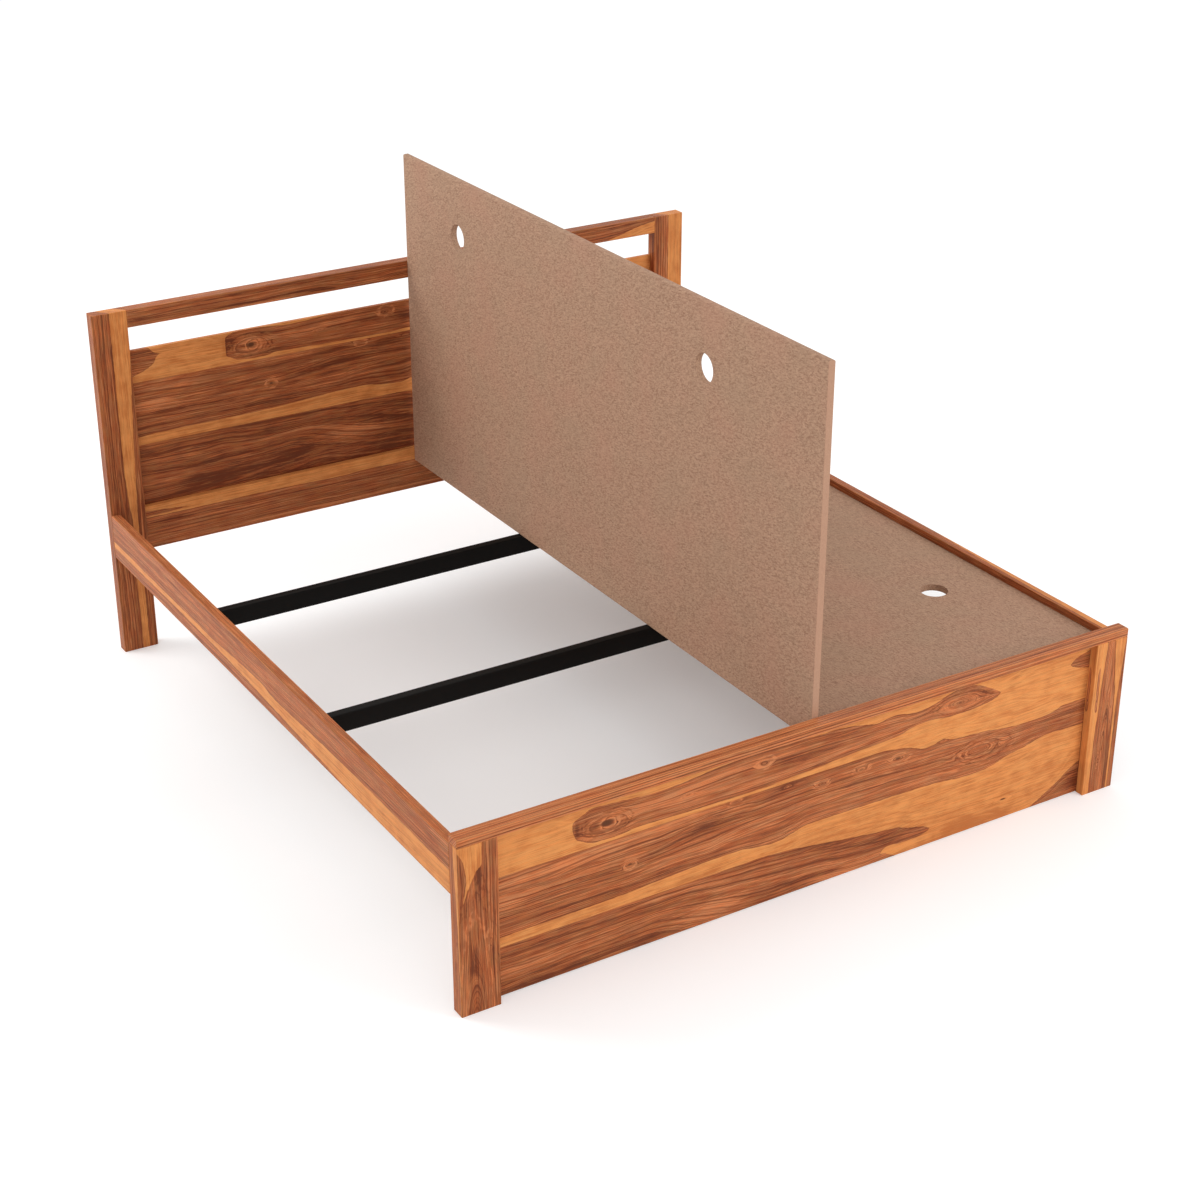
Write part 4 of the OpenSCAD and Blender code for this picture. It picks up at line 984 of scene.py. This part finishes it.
for node in sorted(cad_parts):
    if node.startswith(("bar_saddle", "corner_bracket")):
        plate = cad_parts[node].copy()
        plate.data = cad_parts[node].data.copy()
        for key in [key for key in plate.keys() if key.startswith("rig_")]:
            del plate[key]
        plate.parent = None
        plate.name = plate.data.name = node + "_plate"
        bpy.context.scene.collection.objects.link(plate)
        pick_up(plate)
        bpy.ops.object.mode_set(mode="EDIT")
        bpy.ops.mesh.select_all(action="SELECT")
        bpy.ops.mesh.remove_doubles(threshold=SAME_SPOT)
        bpy.ops.mesh.dissolve_limited(angle_limit=math.radians(NEARLY_FLAT))
        bpy.ops.object.mode_set(mode="OBJECT")
        ease_arrises(plate, PLATE_ARRIS, 2, PLATE_SHARP)
        finish_piece(plate, BLACK_STEEL, node)


# Steel fixings: hexagon bolts and nuts, threaded inserts and wood screws, all zinc-plated and
# slightly yellowed, with turning marks that dull them.

ZINC_GREY, ZINC_YELLOWED, FULL_GLOSS = (0.50, 0.50, 0.49), (0.66, 0.63, 0.54), 0.5


def make_zinc_plate():
    zinc, shader, place = start_material("zinc_plate", FULL_GLOSS)
    blotch = cloud(place, 4.0, scale=160.0)
    colour = blend(fade(blotch, 0.35, 0.65), ZINC_GREY, ZINC_YELLOWED)
    shader["Metallic"].default_value = 1.0
    dress(shader, colour, fade(blotch, 0.3, 0.7, 0.26, 0.46), cloud(place, scale=1500.0), 0.2, 0.0002)
    return zinc


def dress_fixings(nodes, material):
    """Puts a material on CAD nodes that are shown as they are."""
    for node in nodes:
        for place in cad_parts[node].material_slots:
            place.material = material


dress_fixings(("corner_bolts", "corner_inserts", "bar_bolts", "bar_nuts", "headboard_plank_screws",
               "footboard_plank_screws", "batten_screws", "saddle_screws"), make_zinc_plate())


# Dowels: four beech pins glued into the legs and the cap rail, out of sight. They are turned
# from straight-grained stock, and keep its fine pores.

BEECH_BROWN, BEECH_PALE, BEECH_PORE = (0.52, 0.33, 0.17), (0.68, 0.47, 0.27), (0.30, 0.16, 0.07)


def make_beech():
    beech, shader, place = start_material("beech_dowel", FULL_GLOSS)
    x, y, along = split(place)
    fibres = put(place.tree, FIBRES, {"Along": along, "Across": x, "Depth": y, "Seed": 9.0})
    colour = blend(fade(fibres["Fibre"], 0.3, 0.7), BEECH_BROWN, BEECH_PALE)
    feed(shader["Base Color"], blend(fibres["Pores"] * 0.6, colour, BEECH_PORE))
    feed(shader["Roughness"], fibres["Fibre"] * 0.2 + 0.5)
    return beech


dress_fixings(("cap_dowels",), make_beech())


# Mattress boards: two loose panels of pressed wood fibre, 18 mm thick, the long edges rounded
# and two finger holes bored in each. Their faces keep the felted fibre and fine screen mark
# of the press, and the sawn ends are smoother and paler. One lies, one stands on its edge.

BOARD_ROUND, BOARD_ARRIS = 0.004, 0.0007
FINGER_HOLE, DRILL_LENGTH, HOLE_SIDES = 0.0365, 0.04, 72
FIBRE_GLOSS, SCREEN_MESH = 0.3, 2.6
FELT_DARK, FELT_PALE, TUFT = (0.262, 0.139, 0.085), (0.472, 0.286, 0.183), (0.450, 0.268, 0.172)
REDDER_PATCH, GREYER_PATCH = (0.430, 0.215, 0.140), (0.355, 0.230, 0.145)
PALE_FIBRE, DARK_FLECK, SAWN_END = (0.600, 0.400, 0.265), (0.150, 0.080, 0.055), (0.470, 0.262, 0.170)


def make_pressed_fibre():
    fibre, shader, place = start_material("pressed_fibre", FIBRE_GLOSS)
    x, y, z = split(place)
    face, through = x + z, x - z
    bent = cloud(place, scale=30.0) * 12.0 + face
    along, across = y * 0.87 + bent * -0.49, y * 0.49 + bent * 0.87
    ribs = cloud(stretched((17.0, 5.0, 5.0), (along, across, through)), 2.0, 0.6)
    felt = cloud(stretched((6.5, 4.6, 4.6), (across, along, through)), 3.0, 0.7)
    tufts = cloud(stretched((26.0, 15.0, 15.0), (along, across, through)))
    patches = cloud(place, scale=6.5)
    flecks = cloud(stretched((5.5, 9.0, 5.5), (y, face, through)), 1.0)
    long_fibres = cloud(stretched((1.4, 19.0, 19.0), (across, along, through)))
    mottle = ribs * 0.55 + felt * 0.45
    colour = blend(fade(mottle, 0.35, 0.65), FELT_DARK, FELT_PALE)
    colour = blend(fade(tufts, 0.38, 0.70) * 0.30, colour, TUFT)
    colour = blend(fade(patches, 0.44, 0.78) * 0.36, colour, REDDER_PATCH)
    colour = blend(fade(patches, 0.54, 0.24) * 0.34, colour, GREYER_PATCH)
    colour = blend(fade(long_fibres, 0.64, 0.74) * 0.34, colour, PALE_FIBRE)
    colour = blend(fade(flecks, 0.70, 0.79) * 0.55, colour, DARK_FLECK)
    colour = blend(fade(y.step("ABSOLUTE"), 987.6, 988.4) * 0.75, colour, SAWN_END)
    waves = [(term * (2 * math.pi / SCREEN_MESH)).step("SINE") for term in (y, face)]
    height = tufts * 0.6 + waves[0] * waves[1] * 0.10 + mottle
    dress(shader, colour, fade(felt, 0.25, 0.75, 0.82, 0.68), height, 0.55, 0.0012)
    return fibre


PRESSED_FIBRE = make_pressed_fibre()
BOARDS = {
    "left": ("x", ((0.009, -0.5217, 1.1505), (0.009, 0.6783, 1.1505))),
    "right": ("z", ((0.7245, -0.5407, 0.3985), (0.7245, 0.6593, 0.3985))),
}
for side, (axis, holes) in BOARDS.items():
    node = "mattress_board_" + side
    board = squared_block(node + "_fibre", *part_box(node))
    round_long_edges(board, 1, BOARD_ROUND, 6)
    bpy.ops.object.mode_set(mode="OBJECT")
    for centre in holes:
        bore(board, centre, FINGER_HOLE, DRILL_LENGTH, axis, HOLE_SIDES)
    ease_arrises(board, BOARD_ARRIS, 2)
    finish_piece(board, PRESSED_FIBRE, node, "board_" + side)


# Studio: a seamless white floor that keeps the bed's soft shadow, an even white surround and
# two broad soft lamps. The floor's glow, seen only by the camera and in reflections, is dimmed
# near the bed as painted shade, which deepens the shadow under it. The camera stands high at
# the foot, to the left of the bed.

# The last value shapes the painted shade on the floor round the bed, longer than wide.
FLOOR_WHITE, FLOOR_SIZE, PAINTED_SHADE_SHAPE = (0.82, 0.82, 0.82), 120, (0.8, 1.25, 0)


def directly_seen(tree):
    """One for the camera, mirrors and glass, nought for the light that falls on the bed."""
    kinds = ("Camera", "Glossy", "Transmission")
    camera, mirror, glass = (add_node(tree, "LightPath", out="Is " + kind + " Ray") for kind in kinds)
    return camera.step("MAXIMUM", mirror.step("MAXIMUM", glass))


floor_paint = bpy.data.materials.new("studio_white")
floor_paint.use_nodes = True
tree = floor_paint.node_tree
tree.nodes.clear()
matt = add_node(tree, "BsdfDiffuse", FLOOR_WHITE)
place = add_node(tree, "TexCoord", out="Object")
place = add_node(tree, "VectorMath", place, PAINTED_SHADE_SHAPE, operation="MULTIPLY")
reach = add_node(tree, "VectorMath", place, operation="LENGTH", out="Value")
# Glow weakest under the bed and stronger further out: painted shade under the bed, a lighter shadow beyond
# it.
glow_dimmed_as_painted_shade = add_node(tree, "Emission", None, directly_seen(tree) * fade(reach, 0.4, 1.5, 0.12, 0.265))
feed(tree.nodes.new("ShaderNodeOutputMaterial").inputs["Surface"], add_node(tree, "AddShader", matt, glow_dimmed_as_painted_shade))

bpy.ops.object.select_all(action="DESELECT")
bpy.ops.mesh.primitive_plane_add(size=FLOOR_SIZE, location=(0, 0, 0))
floor = bpy.context.object
floor.name = "studio_floor"
floor.data.materials.append(floor_paint)
floor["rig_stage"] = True

surround = bpy.data.worlds.new("studio_surround")
bpy.context.scene.world = surround
surround.use_nodes = True
backdrop = surround.node_tree.nodes["Background"].inputs
feed(backdrop["Color"], (1, 1, 1))
feed(backdrop["Strength"], fade(directly_seen(surround.node_tree), 0.0, 1.0, 0.91, 1.0))


def soft_lamp(name, place, aim, wide, power):
    """A round white lamp, as wide as a studio's soft box, turned to what it lights."""
    light = bpy.data.lights.new(name, "AREA")
    light.shape, light.size, light.energy = "DISK", wide, power
    lamp = bpy.data.objects.new(name, light)
    bpy.context.scene.collection.objects.link(lamp)
    lamp.location = place
    x, y, z = (a - b for a, b in zip(aim, place))
    lamp.rotation_euler = (math.atan2(math.hypot(x, y), -z), 0, math.atan2(y, x) - math.pi / 2)


soft_lamp("broad_key", (3.2, -5.0, 3.0), (0, 0, 0.4), 3.2, 103)
soft_lamp("side_fill", (-3.8, 2.8, 3.9), (0, 0.2, 0.6), 2.6, 100)

eye = bpy.data.cameras.new("viewpoint")
camera = bpy.data.objects.new("viewpoint", eye)
bpy.context.scene.collection.objects.link(camera)
camera.location = (-2.74957, -4.54571, 2.93188)
camera.rotation_euler = (1.116746, -0.000550, -0.549991)
eye.lens, eye.sensor_width = 67.101, 36.0
eye.clip_start, eye.clip_end = 0.05, 300
bpy.context.scene.camera = camera
bpy.context.scene.view_settings.view_transform = "Standard"

low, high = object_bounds()
